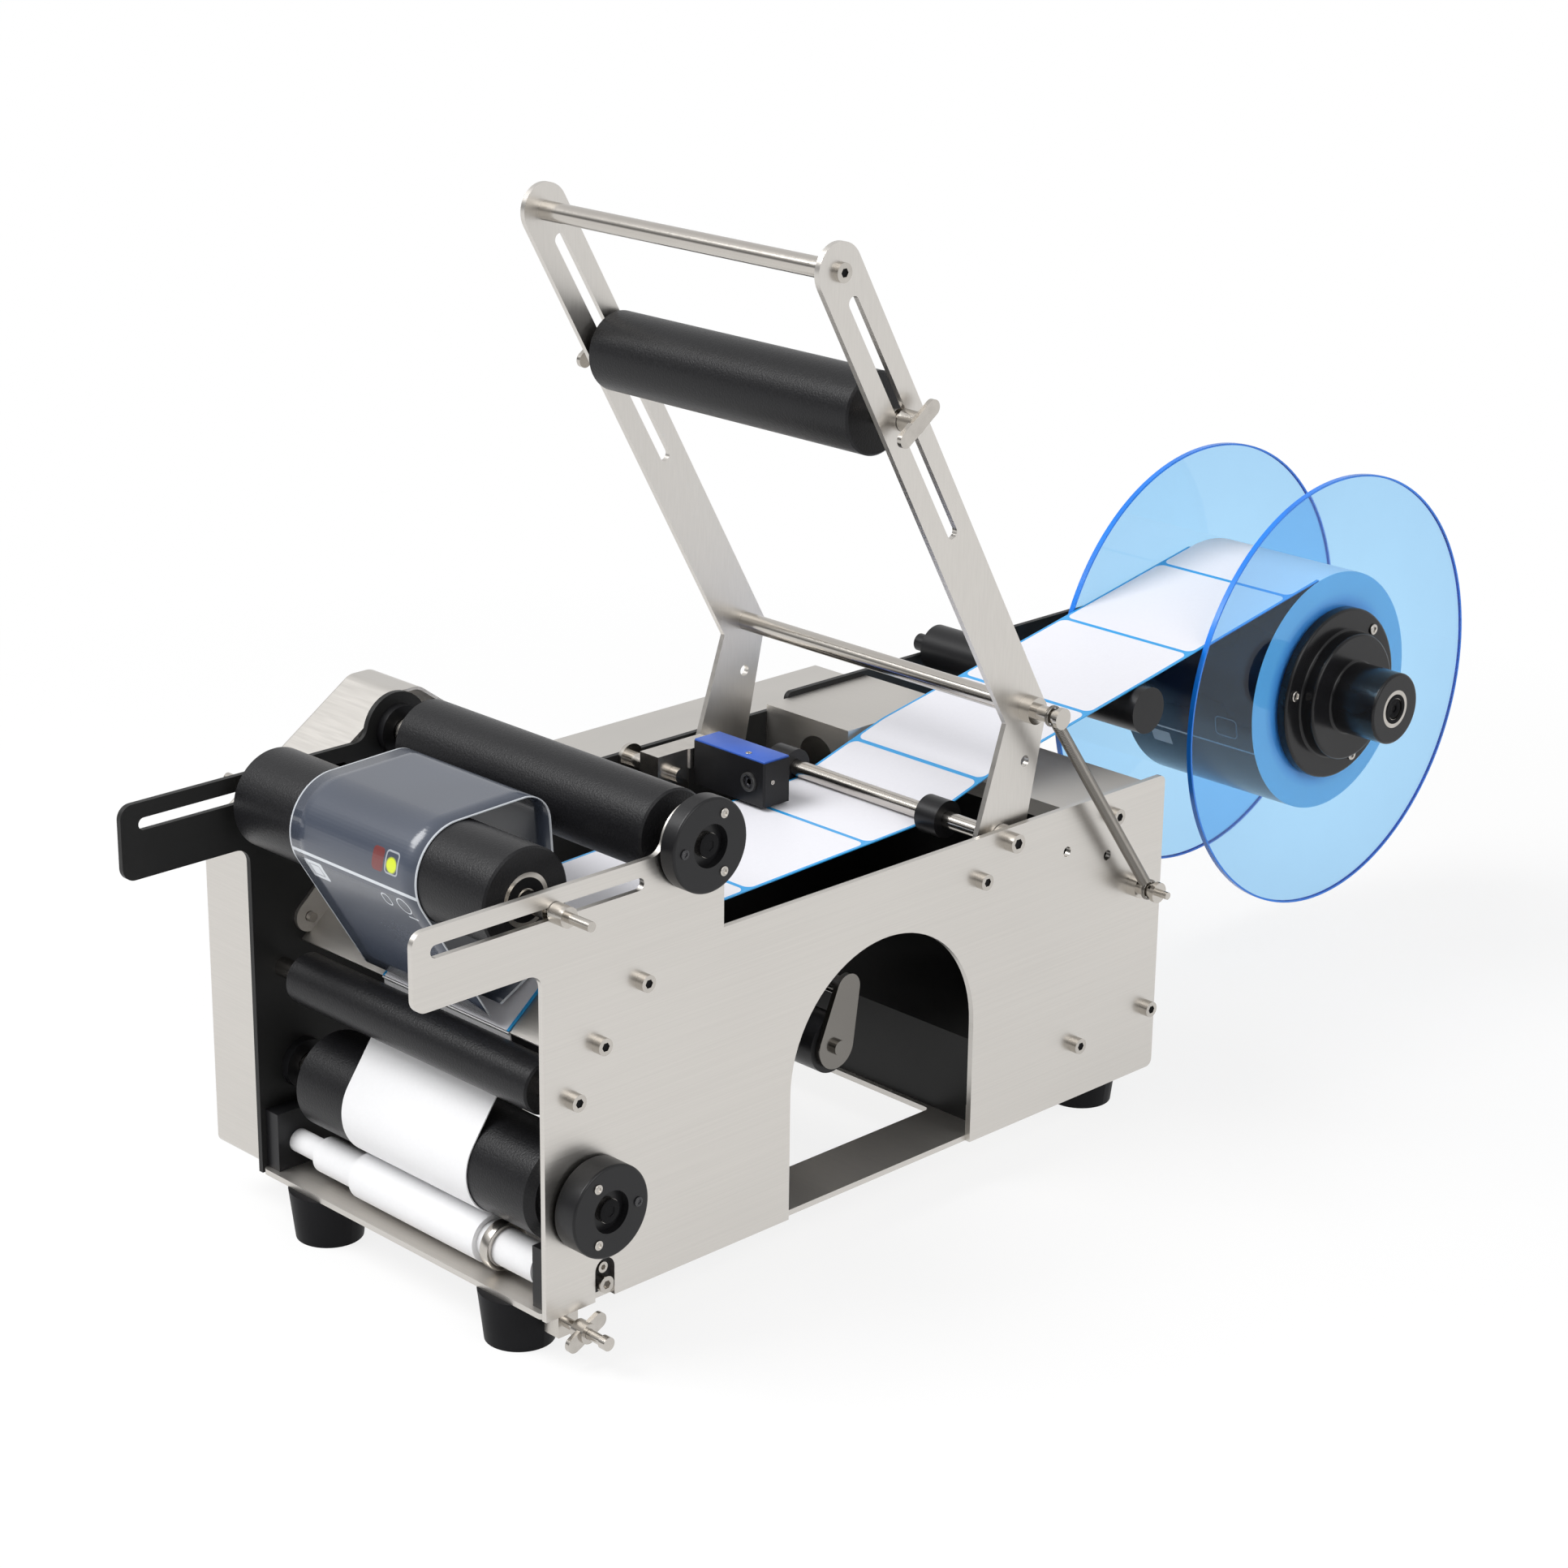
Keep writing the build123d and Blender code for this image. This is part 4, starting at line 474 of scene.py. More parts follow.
def bright_zinc(name, shade):
    """Small bright screws with faint handling marks."""
    finish = Finish(name)
    marks = finish.noise(160.0, 4.0)
    tone = finish.blend(marks, tint(shade, 0.78), tint(shade, 1.10))
    return finish.surface(Base_Color=tone, Metallic=1.0, Roughness=0.16 + marks * 0.14,
                          Normal=finish.bump(marks, 0.03 * MM, 0.4))


def black_sheet(name, shade):
    """Black painted sheet with a fine satin texture; on the electronics box it is painted shade."""
    finish = Finish(name)
    grain = finish.noise(1400.0, 2.0)
    clouds = finish.noise(20.0, 2.0)
    tone = finish.blend(clouds, tint(shade, 0.8), tint(shade, 1.5))
    return finish.surface(Base_Color=tone, Roughness=0.38 + grain * 0.14,
                          Specular_IOR_Level=0.25, Normal=finish.bump(grain, 0.05 * MM, 0.5))


def ground_rubber(name, shade):
    """Ground rubber cover: a fine even grain with a soft sheen."""
    finish = Finish(name)
    grain = finish.noise(1000.0, 3.0)
    clouds = finish.noise(26.0, 3.0)
    tone = finish.blend(grain * 0.7 + clouds * 0.3, tint(shade, 0.4), tint(shade, 2.1))
    return finish.surface(Base_Color=tone, Roughness=0.26 + grain * 0.2,
                          Specular_IOR_Level=0.24, Normal=finish.bump(grain, 0.18 * MM, 0.9))


def moulded_plastic(name, shade, roughness=0.30, gloss=0.3):
    """Black moulded or turned plastic with a faint mottle."""
    finish = Finish(name)
    grain = finish.noise(700.0, 2.0)
    clouds = finish.noise(40.0, 2.0)
    tone = finish.blend(clouds, tint(shade, 0.8), tint(shade, 1.5))
    return finish.surface(Base_Color=tone, Roughness=roughness + grain * 0.08,
                          Specular_IOR_Level=gloss, Normal=finish.bump(grain, 0.04 * MM, 0.4))


def clear_disc(name, shade, rim_shade, axis, radius):
    """Clear blue acrylic whose cut edge gathers a deep blue."""
    finish = Finish(name)
    haze = finish.noise(45.0, 3.0)
    from_axis = radial(finish, axis)
    tone = finish.blend(from_axis.step(radius * 0.7, radius * 0.6) * 0.7 + haze * 0.3,
                        tint(shade, 1.05), tint(shade, 0.93))
    bump = finish.bump(haze, 0.02 * MM, 0.2)
    clear = finish.shader(Base_Color=tone, Roughness=0.02 + haze * 0.03,
                          Transmission_Weight=1.0, IOR=1.30, Normal=bump)
    cut = finish.shader(Base_Color=finish.blend(haze, tint(rim_shade, 0.8), tint(rim_shade, 1.3)),
                        Roughness=0.2, Normal=bump)
    return finish.close(finish.mixed(from_axis.step(radius - 1.1 * MM, 0.2 * MM), clear, cut))


def label_stock(name, web, low, high, liner, label):
    """White labels with round corners on a blue liner, along the web."""
    finish = Finish(name)
    x, y, _ = finish.place()
    cell = (y - web.phase) % web.pitch
    size = (web.pitch - web.gap, high - low - 2 * web.margin)
    face = block_mask(cell, x, (web.pitch / 2, (low + high) / 2), size, web.corner, 0.3 * MM)
    mottle = finish.noise(600.0, 2.0)
    glaze = finish.noise(14.0, 2.0)
    blue = finish.blend(glaze, tint(liner, 0.85), tint(liner, 1.15))
    white = finish.blend(mottle, tint(label, 0.97), tint(label, 1.02))
    return finish.surface(Base_Color=finish.blend(face, blue, white),
                          Roughness=0.26 + face * 0.2,
                          Normal=finish.bump(face, 0.08 * MM, 0.6))


def wound_roll(name, low, high, axis, radius, side, face, mark, label):
    """A wound roll: ringed blue sides, a dark printed outer turn and white labels on top."""
    finish = Finish(name)
    x, y, z = finish.place()
    from_axis = radial(finish, axis)
    ring = (from_axis * 5200.0).sum("SINE") * 0.12 + finish.noise(1.0, 2.0, (1.0, 60.0, 60.0))
    deep = from_axis.step(radius * 0.75, radius * 0.16)
    by_hub = (side[0] * 0.16, side[1] * 0.48, side[2] * 0.92)
    edge_tone = finish.blend(deep, by_hub, tint(side, 1.05))
    edges = finish.blend(ring * 0.35, edge_tone, tint(side, 1.2))
    turn = (axis[1] - z).sum("ARCTAN2", axis[0] - y) * radius
    printed = turn.within(*ROLL_LINE, ROLL_SOFT)
    for patch in ROLL_PATCHES:
        printed = printed.sum("MAXIMUM", patch.mask(x, turn, ROLL_SOFT) * patch.strength)
    clouds = finish.noise(20.0, 2.0)
    dark = finish.blend(clouds, tint(face, 0.8), tint(face, 1.7))
    outer = finish.blend(printed, dark, mark)
    top = 1 - turn.within(DARK_FROM * radius, DARK_TO * radius, 0.4 * MM)
    outer = finish.blend(top, outer, label)
    on_side = abs(x - (low + high) / 2).step((high - low) / 2 - 0.2 * MM, 0.2 * MM)
    return finish.surface(Base_Color=finish.blend(on_side, outer, edges),
                          Roughness=0.18 + on_side.sum("MAXIMUM", top) * 0.22 + clouds * 0.06,
                          Normal=finish.bump(ring, 0.05 * MM, 0.4))


def printed_film(name, low, high, front_y, shade, mark):
    """Slate film with pale edge lines, one cross line and small plain patches on its front."""
    finish = Finish(name)
    x, y, z = finish.place()
    front = 1 - y.step(front_y, MM)
    edge = abs(x - (low + high) / 2).step((high - low) / 2 - FILM_EDGE, FILM_SOFT)
    line = z.within(*FILM_LINE, FILM_SOFT) * front
    inset = FILM_INSET.mask(x, z, FILM_SOFT) * FILM_INSET.strength
    square = (FILM_SQUARE.mask(x, z, FILM_SOFT) - inset) * front
    pale = line.sum("MAXIMUM", edge).sum("MAXIMUM", square)
    for patch in FILM_PATCHES:
        pale = pale.sum("MAXIMUM", patch.mask(x, z, FILM_SOFT) * front * patch.strength)
    red = FILM_RED.mask(x, z, FILM_SOFT) * front
    lime = FILM_LIME.mask(x, z, MM) * front
    clouds = finish.noise(9.0, 2.0)
    grain = finish.noise(900.0, 2.0)
    base = finish.blend(clouds, tint(shade, 0.75), tint(shade, 1.35))
    base = finish.blend(red, base, RED_TONE)
    base = finish.blend(lime, base, LIME_TONE)
    return finish.surface(Base_Color=finish.blend(pale, base, tint(mark, 1.15)),
                          Roughness=0.20 + clouds * 0.08 + grain * 0.03, Coat_Weight=0.35,
                          Coat_Roughness=0.12, Normal=finish.bump(grain, 0.03 * MM, 0.3))


def plain_paper(name, shade):
    """Paper or card with fine fibres."""
    finish = Finish(name)
    fibres = finish.noise(500.0, 4.0)
    tone = finish.blend(fibres, tint(shade, 0.97), tint(shade, 1.02))
    return finish.surface(Base_Color=tone, Roughness=0.55 + fibres * 0.1,
                          Normal=finish.bump(fibres, 0.04 * MM, 0.4))


def coloured(kind):
    """The colour of one finish, as the panel has it."""
    return tuple(getattr(bpy.context.scene.labeller_finish, kind))


def dress(material, *names):
    """Give CAD nodes their material."""
    for name in names:
        nodes[name].data.materials.clear()
        nodes[name].data.materials.append(material)


# Modelling helpers

def deselect():
    """Leave nothing selected."""
    bpy.ops.object.select_all(action="DESELECT")


def settle(piece, name, body, material):
    """Put a finished piece's place in its mesh, name it and let it ride on its body."""
    deselect()
    piece.select_set(True)
    bpy.context.view_layer.objects.active = piece
    bpy.ops.object.transform_apply(location=True, rotation=True, scale=True)
    piece.name = name
    piece.data.name = name
    piece.data.materials.clear()
    piece.data.materials.append(bpy.data.materials[material])
    if body:
        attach(piece, body)
    return piece


def joined(pieces):
    """Join pieces into one object."""
    deselect()
    for piece in pieces:
        piece.select_set(True)
    bpy.context.view_layer.objects.active = pieces[0]
    bpy.ops.object.join()
    return pieces[0]


def finished(piece, kind, **settings):
    """Add one modifier and apply it."""
    bpy.context.view_layer.objects.active = piece
    modifier = piece.modifiers.new(kind.lower(), kind)
    for key, value in settings.items():
        setattr(modifier, key, value)
    bpy.ops.object.modifier_apply(modifier=modifier.name)
    return piece


def eased(piece, width, segments=3):
    """Bevel the sharp edges and shade what is left smooth."""
    finished(piece, "BEVEL", width=width, segments=segments, limit_method="ANGLE",
             angle_limit=EDGE_ANGLE)
    bpy.ops.object.shade_smooth_by_angle(angle=SMOOTH_ANGLE)
    return piece


def facing(direction):
    """The rotation that turns +Z to a direction."""
    return Vector(direction).to_track_quat("Z", "Y").to_euler()


def screw_head(place, direction, radius, height, socket, rim, sides=40):
    """A screw head on a face: a rounded disc with a sunk hexagon socket."""
    deselect()
    centre = Vector(place) + Vector(direction) * (height / 2)
    bpy.ops.mesh.primitive_cylinder_add(vertices=sides, radius=radius, depth=height,
                                        location=centre, rotation=facing(direction))
    head = bpy.context.object
    eased(head, rim)
    deselect()
    top = Vector(place) + Vector(direction) * height
    bpy.ops.mesh.primitive_cylinder_add(vertices=6, radius=socket, depth=height,
                                        location=top, rotation=facing(direction))
    key = bpy.context.object
    deselect()
    head.select_set(True)
    finished(head, "BOOLEAN", object=key, operation="DIFFERENCE", solver="EXACT")
    bpy.data.objects.remove(key, do_unlink=True)
    return head


def ring_about(axis_point, direction, outer, inner, depth, rim, sides=64):
    """A plain ring whose axis runs along a direction."""
    deselect()
    bpy.ops.mesh.primitive_cylinder_add(vertices=sides, radius=outer, depth=depth,
                                        end_fill_type="NOTHING", location=axis_point,
                                        rotation=facing(direction))
    ring = bpy.context.object
    finished(ring, "SOLIDIFY", thickness=outer - inner, offset=-1.0)
    return eased(ring, rim, 2)


def rounded_block(low, high, rim):
    """A block with rounded edges between two corners."""
    deselect()
    centre = (Vector(low) + Vector(high)) / 2
    bpy.ops.mesh.primitive_cube_add(size=1.0, location=centre, scale=Vector(high) - Vector(low))
    block = bpy.context.object
    bpy.ops.object.transform_apply(location=False, rotation=False, scale=True)
    return eased(block, rim)


def circle_places(x, axis, radius, degrees):
    """Points on a circle round an axis along X, at the given angles from +Y to +Z."""
    for angle in degrees:
        turn = math.radians(angle)
        yield (x, axis[0] + radius * math.cos(turn), axis[1] + radius * math.sin(turn))


def painted_shade_discs(places, radius):
    """Dark discs low in the sockets of heads whose end faces stand at the given places: painted
    shade in the hexagon sockets.
    """
    shade_discs = []
    for x, y, z in places:
        side = math.copysign(1.0, x)
        deselect()
        centre = (x - side * (SHADE_COVER + SHADE_DEPTH / 2), y, z)
        bpy.ops.mesh.primitive_cylinder_add(vertices=SHADE_SIDES, radius=radius, depth=SHADE_DEPTH,
                                            location=centre, rotation=(0.0, TURN / 4, 0.0))
        shade_discs.append(eased(bpy.context.object, SHADE_EDGE, 1))
    return shade_discs


# Operators: one for the stage, one for the finishes, one for each group of pieces

class LABELLER_OT_stage(bpy.types.Operator):
    """Make the camera, the floor, the lamps and the surroundings"""

    bl_idname = "labeller.stage"
    bl_label = "Stage"

    def execute(self, context):
        scene = context.scene
        scene.view_settings.view_transform = "Standard"
        self.camera(scene)
        self.floor(scene.labeller_stage)
        self.lamps(scene.labeller_stage)
        self.surroundings(scene)
        return {"FINISHED"}

    def camera(self, scene):
        """The photograph's camera."""
        back = Vector((math.sin(CAMERA_AZIMUTH) * math.cos(CAMERA_ELEVATION),
                       -math.cos(CAMERA_AZIMUTH) * math.cos(CAMERA_ELEVATION),
                       math.sin(CAMERA_ELEVATION)))
        right = Vector((math.cos(CAMERA_AZIMUTH), math.sin(CAMERA_AZIMUTH), 0.0))
        up = back.cross(right)
        rolled_right = right * math.cos(CAMERA_ROLL) + up * math.sin(CAMERA_ROLL)
        rolled_up = up * math.cos(CAMERA_ROLL) - right * math.sin(CAMERA_ROLL)
        deselect()
        bpy.ops.object.camera_add()
        camera = bpy.context.object
        camera.name = "photo_camera"
        camera.data.lens = CAMERA_LENS
        camera.data.sensor_width = CAMERA_SENSOR
        camera.data.clip_end = CAMERA_REACH
        turn = Matrix((rolled_right, rolled_up, back)).transposed().to_4x4()
        camera.matrix_world = Matrix.Translation(CAMERA_PLACE) @ turn
        scene.camera = camera

    def floor(self, stage):
        """A pale floor that keeps the shadow and fades into the white background."""
        deselect()
        bpy.ops.mesh.primitive_plane_add(size=stage.floor_size)
        floor = bpy.context.object
        floor.name = "floor"
        finish = Finish("pale_floor")
        x, y, _ = finish.place()
        reach = (x * x + y * y).sum("SQRT")
        far = ((reach - stage.floor_near) / (stage.floor_far - stage.floor_near)).sum(
            "ADD", 0.0, clamp=True)
        path = finish.add("ShaderNodeLightPath")
        seen = Wire(finish, path.outputs["Is Camera Ray"])
        for ray in ("Is Glossy Ray", "Is Transmission Ray"):
            seen = seen.sum("MAXIMUM", Wire(finish, path.outputs[ray]))
        glow = seen * (stage.floor_glow + far * (1 - stage.floor_glow))
        shade = (*stage.floor_colour, 1.0)
        matt = finish.wire("ShaderNodeBsdfDiffuse", {}, {"Color": shade})
        white = finish.wire("ShaderNodeEmission", {}, {"Color": (1.0, 1.0, 1.0, 1.0)})
        floor.data.materials.append(finish.close(finish.mixed(glow, matt, white)))

    def lamp(self, name, place, target, size, power):
        """One square area lamp that faces a point."""
        deselect()
        turn = (Vector(target) - Vector(place)).to_track_quat("-Z", "Y").to_euler()
        bpy.ops.object.light_add(type="AREA", location=place, rotation=turn)
        lamp = bpy.context.object
        lamp.name = name
        lamp.data.shape = "SQUARE"
        lamp.data.size = size
        lamp.data.energy = power

    def lamps(self, stage):
        """A large key lamp and a weaker fill lamp."""
        self.lamp("key_lamp", KEY_PLACE, LAMP_TARGET, KEY_SIZE, stage.key_power)
        self.lamp("fill_lamp", FILL_PLACE, LAMP_TARGET, FILL_SIZE, stage.fill_power)

    def surroundings(self, scene):
        """White where the camera and glass look, a darker low band in gloss, a plain level else."""
        stage = scene.labeller_stage
        world = bpy.data.worlds.new("studio")
        scene.world = world
        world.use_nodes = True
        sky = NodeTree(world.node_tree)
        _, y, z = sky.place("Generated")
        band = 1 - (abs(z - BAND_HEIGHT) / BAND_REACH).sum("ADD", 0.0, clamp=True)
        side = (BAND_MIDDLE - y * BAND_SLOPE).sum("ADD", 0.0, clamp=True)
        gloss = 1 - band * side * stage.dark_band
        path = sky.add("ShaderNodeLightPath")
        seen = Wire(sky, path.outputs["Is Camera Ray"]).sum(
            "MAXIMUM", Wire(sky, path.outputs["Is Transmission Ray"]))
        glossy = Wire(sky, path.outputs["Is Glossy Ray"])
        level = glossy * gloss + (1 - glossy) * stage.world_strength
        level = seen + (1 - seen) * level
        light = sky.wire("ShaderNodeBackground", {}, {"Strength": level})
        sky.add("ShaderNodeOutputWorld", {}, {"Surface": light})


class LABELLER_OT_finishes(bpy.types.Operator):
    """Give every CAD node its finish"""

    bl_idname = "labeller.finishes"
    bl_label = "Finishes"

    def execute(self, context):
        self.metals()
        self.blacks()
        self.printed(context.scene.labeller_web)
        return {"FINISHED"}

    def metals(self):
        """Sheets, bars and screws."""
        steel = coloured("steel")
        dress(brushed_steel("steel_side_sheet", steel, SIDE_GRAIN),
              "right_plate", "motor_cover")
        dress(brushed_steel("steel_flat_sheet", steel, FLAT_GRAIN, FLAT_ROUGHNESS),
              "base_tray", "rear_deck", "deck_box", "peel_plate")
        dress(brushed_steel("steel_arm_sheet", steel, ARM_GRAIN),
              "arm_left", "arm_right")
        dress(polished_bar("steel_bar", coloured("bar")),
              "pivot_shaft", "spring_post", "sensor_bar", "reel_axle", "guide_axle", "handle_rod",
              "mid_rod", "press_shaft", "front_shaft", "rear_shaft", "drive_shaft", "clamp_stud",
              "arm_spring")
        dress(polished_bar("dark_lever", tint(coloured("bar"), 0.35)), "dancer_lever")
        polished_bar("spring_wire", coloured("spring"))
        dress(bright_zinc("bright_zinc", coloured("zinc")),
              "plate_screws", "arm_screws", "wing_bolt_left", "wing_bolt_right", "wing_nut",
              "front_lock_screws", "front_bearings", "hub_bearings")
        dress(bright_zinc("turned_aluminium", tint(coloured("zinc"), 1.15)),
              "sensor_clamp", "motor_pulley")

    def blacks(self):
        """Painted sheet, rubber and plastic."""
        # The left plate is black painted sheet; the electronics box takes the same black as painted
        # shade, for the shade inside the machine
        dress(black_sheet("black_sheet", coloured("black_paint_and_painted_shade")), "left_plate", "electronics_box")
        dress(ground_rubber("roller_rubber", coloured("rubber")),
              "press_roller", "front_roller", "rear_roller", "drive_roller", "guide_roller",
              "drive_belt")
        plastic = coloured("plastic")
        dress(moulded_plastic("foot_rubber", plastic, 0.42, 0.08), "rubber_feet")
        dress(moulded_plastic("black_plastic", plastic),
              "upper_knob", "lower_knob", "takeup_blocks", "dancer_roller", "idler_roller",
              "collar_left", "collar_right", "label_sensor", "shaft_bearings")
        dress(moulded_plastic("hub_plastic", plastic, 0.16), "reel_hub")
        dress(moulded_plastic("motor_paint", tint(plastic, 5.0), 0.4), "gear_motor")
        moulded_plastic("sensor_blue", coloured("sensor_blue"), 0.32)
        # Black for the shaft-end caps and the bearing seals, and for the painted shade of dark
        # discs low in the screw sockets
        moulded_plastic("dark_recess", tint(plastic, 0.7), 0.5, 0.08)

    def printed(self, web):
        """The reel, the label web, the film and the paper."""
        low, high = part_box("reel_disc_outer")
        reel = axis_of("reel_disc_outer")
        dress(clear_disc("clear_blue_disc", coloured("disc"), coloured("disc_rim"), reel,
                         high.z - reel[1]),
              "reel_disc_inner", "reel_disc_outer")
        low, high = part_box("label_web")
        dress(label_stock("label_stock", web, low.x, high.x, coloured("liner"),
                          coloured("label")), "label_web")
        low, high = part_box("label_roll")
        dress(wound_roll("wound_roll", low.x, high.x, reel, high.z - reel[1],
                         coloured("roll_side"), coloured("roll_face"), coloured("print_grey"),
                         coloured("label")),
              "label_roll")
        low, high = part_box("label_film")
        dress(printed_film("slate_film", low.x, high.x, axis_of("front_roller")[0],
                           coloured("film"), coloured("print_grey")), "label_film")
        dress(plain_paper("backing_paper", coloured("paper")),
              "backing_paper", "paper_roll", "takeup_tube")


class LABELLER_OT_spring(bpy.types.Operator):
    """Wind the arm spring and stretch it straight between the plate and the arm"""

    bl_idname = "labeller.spring"
    bl_label = "Arm spring"

    def execute(self, context):
        sizes = context.scene.labeller_spring
        x = middle("arm_spring").x
        lower = Vector((x, *axis_of("spring_post")))
        upper = Vector((x, *axis_of("mid_rod")))
        run = upper - lower
        reach = sizes.eye + sizes.wire
        turns = int((run.length - 2 * reach) / sizes.wire)
        coil = self.coil(sizes, turns)
        coil.rotation_euler = facing(run)
        coil.location = lower + run.normalized() * ((run.length - turns * sizes.wire) / 2)
        pieces = [coil]
        for centre in (lower, upper):
            for side in (-0.5, 0.5):
                pieces.append(self.eye(sizes, centre + Vector((side * sizes.wire, 0.0, 0.0))))
        spring = settle(joined(pieces), "wound_spring", None, "spring_wire")
        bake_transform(spring)
        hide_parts("arm_spring")
        return {"FINISHED"}

    def coil(self, sizes, turns):
        """A close-wound coil that rises along Z."""
        deselect()
        middle_radius = sizes.coil - sizes.wire / 2
        bpy.ops.mesh.primitive_circle_add(vertices=sizes.sides, radius=sizes.wire / 2,
                                          location=(middle_radius, 0.0, sizes.wire / 2),
                                          rotation=(TURN / 4, 0.0, 0.0))
        coil = bpy.context.object
        bpy.ops.object.transform_apply(location=True, rotation=True, scale=True)
        finished(coil, "SCREW", axis="Z", angle=TURN, screw_offset=sizes.wire, iterations=turns,
                 steps=sizes.steps, render_steps=sizes.steps, use_smooth_shade=True)
        bpy.ops.object.mode_set(mode="EDIT")
        bpy.ops.mesh.select_all(action="SELECT")
        bpy.ops.mesh.fill_holes(sides=sizes.sides)
        bpy.ops.mesh.normals_make_consistent(inside=False)
        bpy.ops.object.mode_set(mode="OBJECT")
        return coil

    def eye(self, sizes, centre):
        """One turn of an end loop round its post."""
        deselect()
        bpy.ops.mesh.primitive_torus_add(location=centre, rotation=(0.0, TURN / 4, 0.0),
                                         major_segments=EYE_STEPS, minor_segments=EYE_SIDES,
                                         major_radius=sizes.eye + sizes.wire / 2,
                                         minor_radius=sizes.wire / 2)
        bpy.ops.object.shade_smooth()
        return bpy.context.object


class LABELLER_OT_film(bpy.types.Operator):
    """Copy the film, subdivide it and shade it smooth in place of the CAD film"""

    bl_idname = "labeller.film"
    bl_label = "Label film"

    def execute(self, context):
        source = nodes["label_film"]
        film = bpy.data.objects.new("hung_film", source.data.copy())
        film.matrix_world = source.matrix_world
        context.scene.collection.objects.link(film)
        deselect()
        film.select_set(True)
        context.view_layer.objects.active = film
        bpy.ops.object.mode_set(mode="EDIT")
        bpy.ops.mesh.select_all(action="SELECT")
        bpy.ops.mesh.remove_doubles(threshold=0.01 * MM)
        bpy.ops.mesh.subdivide(number_cuts=FILM_CUTS)
        bpy.ops.object.mode_set(mode="OBJECT")
        bpy.ops.object.shade_smooth_by_angle(angle=SMOOTH_ANGLE)
        settle(film, "hung_film", None, "slate_film")
        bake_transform(film)
        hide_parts("label_film")
        return {"FINISHED"}


class LABELLER_OT_sensor(bpy.types.Operator):
    """Finish the label sensor with its blue top, lens and trimmer"""

    bl_idname = "labeller.sensor"
    bl_label = "Label sensor"

    def execute(self, context):
        low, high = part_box("label_sensor")
        margin = COVER_MARGIN
        cover = rounded_block((low.x + margin, low.y + margin, high.z - margin),
                              (high.x - margin, high.y - margin, high.z + MM), COVER_EDGE)
        settle(cover, "sensor_cover", "sensor", "sensor_blue")
        out = Vector((0.0, -1.0, 0.0))
        lens_place = Vector((high.x - LENS_FROM_RIGHT, low.y - LENS_SINK, (low.z + high.z) / 2))
        bezel = ring_about(lens_place, out, BEZEL_OUTER, BEZEL_INNER, BEZEL_DEPTH, BEZEL_EDGE)
        settle(bezel, "sensor_bezel", "sensor", "black_plastic")
        lens = screw_head(lens_place + Vector((0.0, MM, 0.0)), out, LENS_RADIUS, LENS_HEIGHT,
                          LENS_PUPIL, LENS_EDGE)
        settle(lens, "sensor_lens", "sensor", "hub_plastic")
        top_place = (high.x - TOP_TRIMMER_FROM_RIGHT, low.y + TOP_TRIMMER_FROM_FRONT,
                     high.z + TOP_TRIMMER_RISE)
        side_place = (high.x, low.y + SIDE_TRIMMER_FROM_FRONT, low.z + SIDE_TRIMMER_RISE)
        trimmers = [screw_head(top_place, (0.0, 0.0, 1.0), *TOP_TRIMMER),
                    screw_head(side_place, RIGHT, *SIDE_TRIMMER)]
        settle(joined(trimmers), "sensor_trimmers", "sensor", "bright_zinc")
        return {"FINISHED"}


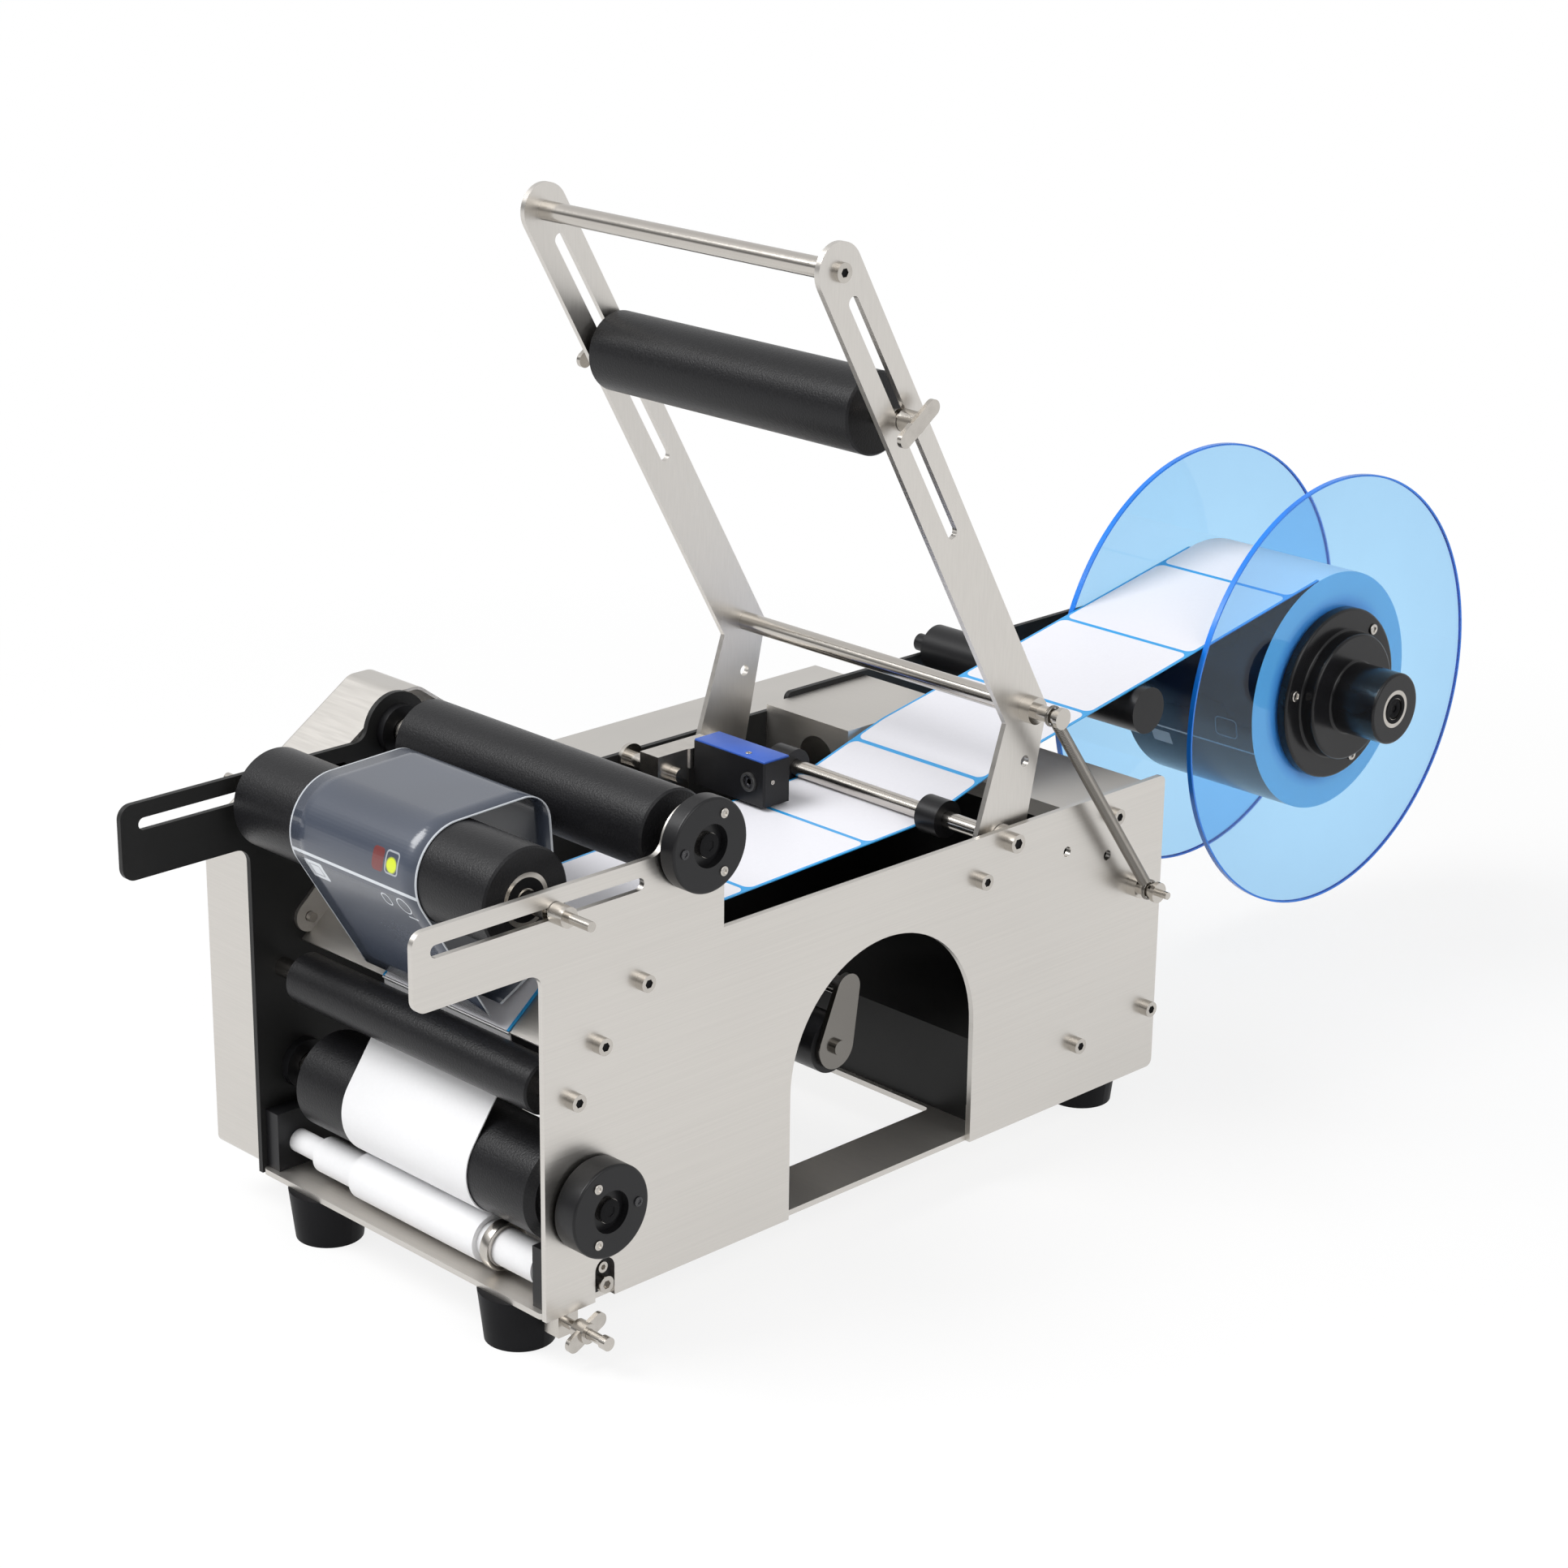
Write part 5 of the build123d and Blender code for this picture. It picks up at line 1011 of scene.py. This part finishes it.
class LABELLER_OT_fasteners(bpy.types.Operator):
    """Add the small screws, the black plug heads in the knobs, the caps, the seals, the painted
    shade in the screw sockets and the ring on the take-up tube
    """

    bl_idname = "labeller.fasteners"
    bl_label = "Small screws and rings"

    def execute(self, context):
        sizes = context.scene.labeller_fasteners
        for knob, (body, screws, plug) in KNOBS.items():
            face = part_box(knob)[1].x
            for kind, degrees, material, slot in (("screws", screws, "bright_zinc", "zinc_screw"),
                                                  ("plug", plug, "hub_plastic", "black_plastic")):
                places = circle_places(face, axis_of(knob), sizes.knob_circle, degrees)
                heads = [screw_head(place, RIGHT, sizes.knob_screw, KNOB_HEAD, KNOB_SOCKET,
                                    KNOB_EDGE) for place in places]
                settle(joined(heads), f"{knob}_{kind}", body, material)
        self.hub_screws(sizes)
        self.takeup_ring(sizes)
        self.painted_socket_shade()
        self.shaft_ends()
        return {"FINISHED"}

    def hub_screws(self, sizes):
        """The screws in the flange of the reel's hub."""
        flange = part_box("reel_disc_outer")[1].x + HUB_FLANGE
        places = circle_places(flange, axis_of("reel_hub"), sizes.hub_circle, HUB_DEGREES)
        heads = [screw_head(place, RIGHT, sizes.hub_screw, HUB_HEAD, HUB_SOCKET, HUB_EDGE)
                 for place in places]
        settle(joined(heads), "hub_screws", "reel", "bright_zinc")

    def takeup_ring(self, sizes):
        """The steel ring on the take-up tube."""
        low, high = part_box("takeup_tube")
        bore = (high.z - low.z) / 2 + RING_FIT
        centre = Vector((RING_X, *axis_of("takeup_tube")))
        ring = ring_about(centre, RIGHT, sizes.ring, bore, RING_LENGTH, RING_EDGE)
        settle(ring, "takeup_ring", "takeup", "bright_zinc")

    def painted_socket_shade(self):
        """Paint shade into the hexagon sockets of the plate screws and of the arm screws, as a dark
        disc low in each socket.
        """
        heads = [(side * M5_FACE, y * MM, z * MM) for y, z in BOTH_SIDES for side in (-1, 1)]
        heads += [(M5_FACE, y * MM, z * MM) for y, z in RIGHT_SIDE]
        shade_discs = painted_shade_discs(heads, M5_SOCKET)
        pivot = axis_of("pivot_shaft")
        shade_discs += painted_shade_discs([(side * M6_FACE, *pivot) for side in (-1, 1)], M6_SOCKET)
        settle(joined(shade_discs), "plate_socket_wells", "frame", "dark_recess")
        low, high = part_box("arm_screws")
        places = [(high.x, *axis_of("handle_rod")), (low.x, *axis_of("handle_rod")),
                  (low.x, *axis_of("mid_rod"))]
        settle(joined(painted_shade_discs(places, M5_SOCKET)), "arm_socket_wells", "press_arm", "dark_recess")

    def shaft_ends(self):
        """Blacken the shaft ends, with a dark disc of painted shade low in each cap's socket, and
        seal the bearings of the front roller and the reel.
        """
        for shaft, body in (("rear_shaft", "rear_roll"), ("drive_shaft", "drive_roll")):
            place = (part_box(shaft)[1].x, *axis_of(shaft))
            cap = screw_head(place, RIGHT, SHAFT_END, KNOB_CAP_HEIGHT, M6_SOCKET, CAP_EDGE)
            # A dark disc of painted shade low in the cap's socket
            shade_disc = painted_shade_discs([place], M6_SOCKET)
            settle(joined([cap, *shade_disc]), f"{shaft}_end", body, "dark_recess")
        hub = axis_of("hub_bearings")
        for name, bearings, axis, radii, body in (
                ("front_bearing_seal", "front_bearings", axis_of("front_roller"), FRONT_SEAL,
                 "front_roll"),
                ("hub_bearing_seal", "hub_bearings", hub, HUB_SEAL, "reel")):
            place = (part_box(bearings)[1].x + SEAL_STAND, *axis)
            seal = ring_about(place, RIGHT, *radii, SEAL_DEPTH, SEAL_STAND)
            settle(seal, name, body, "dark_recess")
        cap = screw_head((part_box("reel_axle")[1].x, *hub), RIGHT, SHAFT_END, AXLE_CAP_HEIGHT,
                         M5_SOCKET, CAP_EDGE)
        settle(cap, "reel_axle_end", "frame", "dark_recess")


class LABELLER_PT_panel(bpy.types.Panel):
    """Sizes, colours and the operators in order"""

    bl_label = "Labeller"
    bl_idname = "LABELLER_PT_panel"
    bl_space_type = "VIEW_3D"
    bl_region_type = "UI"
    bl_category = "Labeller"

    def draw(self, context):
        for group, kind in GROUPS.items():
            box = self.layout.box()
            for name in kind.__annotations__:
                box.prop(getattr(context.scene, group), name)
        for operator in OPERATORS:
            self.layout.operator(operator.bl_idname)


GROUPS = {
    "labeller_stage": LabellerStage,
    "labeller_finish": LabellerFinish,
    "labeller_web": LabellerWeb,
    "labeller_spring": LabellerSpring,
    "labeller_fasteners": LabellerFasteners,
}
OPERATORS = (LABELLER_OT_stage, LABELLER_OT_finishes, LABELLER_OT_spring, LABELLER_OT_film,
             LABELLER_OT_sensor, LABELLER_OT_fasteners)


def register():
    """Register the classes and hang the property groups on the scene."""
    for name, group in GROUPS.items():
        bpy.utils.register_class(group)
        setattr(bpy.types.Scene, name, PointerProperty(type=group))
    for operator in OPERATORS:
        bpy.utils.register_class(operator)
    bpy.utils.register_class(LABELLER_PT_panel)


def unregister():
    """Undo register."""
    bpy.utils.unregister_class(LABELLER_PT_panel)
    for operator in reversed(OPERATORS):
        bpy.utils.unregister_class(operator)
    for name, group in reversed(GROUPS.items()):
        delattr(bpy.types.Scene, name)
        bpy.utils.unregister_class(group)


def main():
    """Make the scene."""
    register()
    bpy.ops.labeller.stage()
    bpy.ops.labeller.finishes()
    bpy.ops.labeller.spring()
    bpy.ops.labeller.film()
    bpy.ops.labeller.sensor()
    bpy.ops.labeller.fasteners()


if __name__ == "__main__":
    main()
